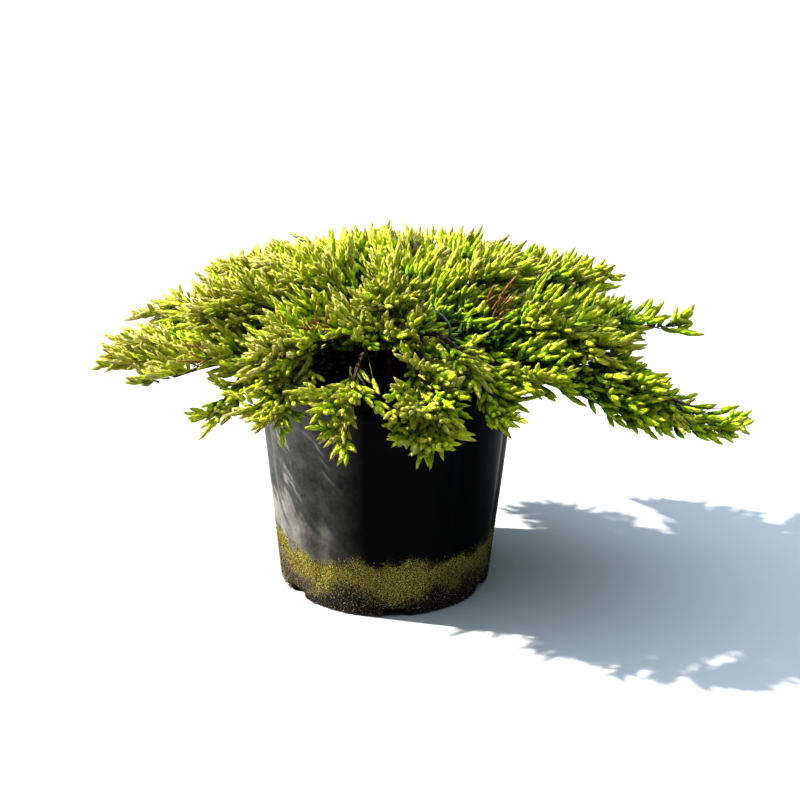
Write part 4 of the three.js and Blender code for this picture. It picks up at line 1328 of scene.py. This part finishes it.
# %% Floor
def studio_floor():
    """Matt white painted board, a touch uneven in gloss."""
    material, tree, shader = new_material("studio_floor", "#bababa", 0.9)
    place = add_node(tree, "ShaderNodeTexCoord").outputs["Object"]
    cloud = add_node(tree, "ShaderNodeTexNoise", {"Scale": 2}, {"Vector": place})
    gloss = add_node(
        tree, "ShaderNodeMapRange", {"To Min": 0.85, "To Max": 0.95}, {"Value": cloud.outputs["Fac"]}
    )
    tree.links.new(gloss.outputs["Result"], shader.inputs["Roughness"])
    return material


FLOOR_HALF = 30.0  # metres
floor_mesh = bpy.data.meshes.new("floor")
corners = [(x * FLOOR_HALF, y * FLOOR_HALF, 0) for x, y in ((-1, -1), (1, -1), (1, 1), (-1, 1))]
floor_mesh.from_pydata(corners, [], [(0, 1, 2, 3)])
floor_mesh.materials.append(studio_floor())
floor = add_object("floor", floor_mesh)

# %% Light
# angles in degrees, lengths in metres, power in watts
SUN = {"azimuth": 172, "elevation": 38, "strength": 6.9, "angle": 1.0, "colour": (1.0, 0.96, 0.88)}
SKY = {"colour": (0.62, 0.8, 1.0), "strength": 0.17}
SOFTBOX = {"side": 4.0, "height": 3.0, "power": 134, "colour": (0.72, 0.83, 0.97)}

world = bpy.data.worlds.new("studio")
world.use_nodes = True
background = world.node_tree.nodes["Background"]
background.inputs["Color"].default_value = (*SKY["colour"], 1)
background.inputs["Strength"].default_value = SKY["strength"]
bpy.context.scene.world = world

lamp = bpy.data.lights.new("sun", "SUN")
lamp.energy, lamp.angle, lamp.color = SUN["strength"], np.radians(SUN["angle"]), SUN["colour"]
sun = add_object("sun", lamp)
round_it, above = np.radians(SUN["azimuth"]), np.radians(SUN["elevation"])
to_sun = Vector((np.cos(round_it) * np.cos(above), np.sin(round_it) * np.cos(above), np.sin(above)))
sun.rotation_euler = (-to_sun).to_track_quat("-Z", "Y").to_euler()

panel = bpy.data.lights.new("softbox", "AREA")
panel.size, panel.energy, panel.color = SOFTBOX["side"], SOFTBOX["power"], SOFTBOX["colour"]
softbox = add_object("softbox", panel)
softbox.location = (0, 0, SOFTBOX["height"])
bpy.context.scene.view_settings.view_transform = "Standard"
bpy.context.scene.view_settings.look = "High Contrast"
print("the sun stands at", np.round(to_sun, 2))

# %% Camera
# angles in degrees, lengths in millimetres
CAMERA = {
    "down": 22.2, "distance": 2105, "target": (14, 0, 198), "roll": 0.8, "lens": 90, "sensor_width": 36,
}

lens = bpy.data.cameras.new("camera")
lens.lens, lens.sensor_width = CAMERA["lens"], CAMERA["sensor_width"]
camera = add_object("camera", lens)
down = np.radians(CAMERA["down"])
back = Vector((0, -np.cos(down), np.sin(down)))
camera.location = (Vector(CAMERA["target"]) + back * CAMERA["distance"]) * METRES
turned = Matrix.Rotation(np.pi / 2 - down, 3, "X") @ Matrix.Rotation(np.radians(CAMERA["roll"]), 3, "Z")
camera.rotation_euler = turned.to_euler()
bpy.context.scene.camera = camera
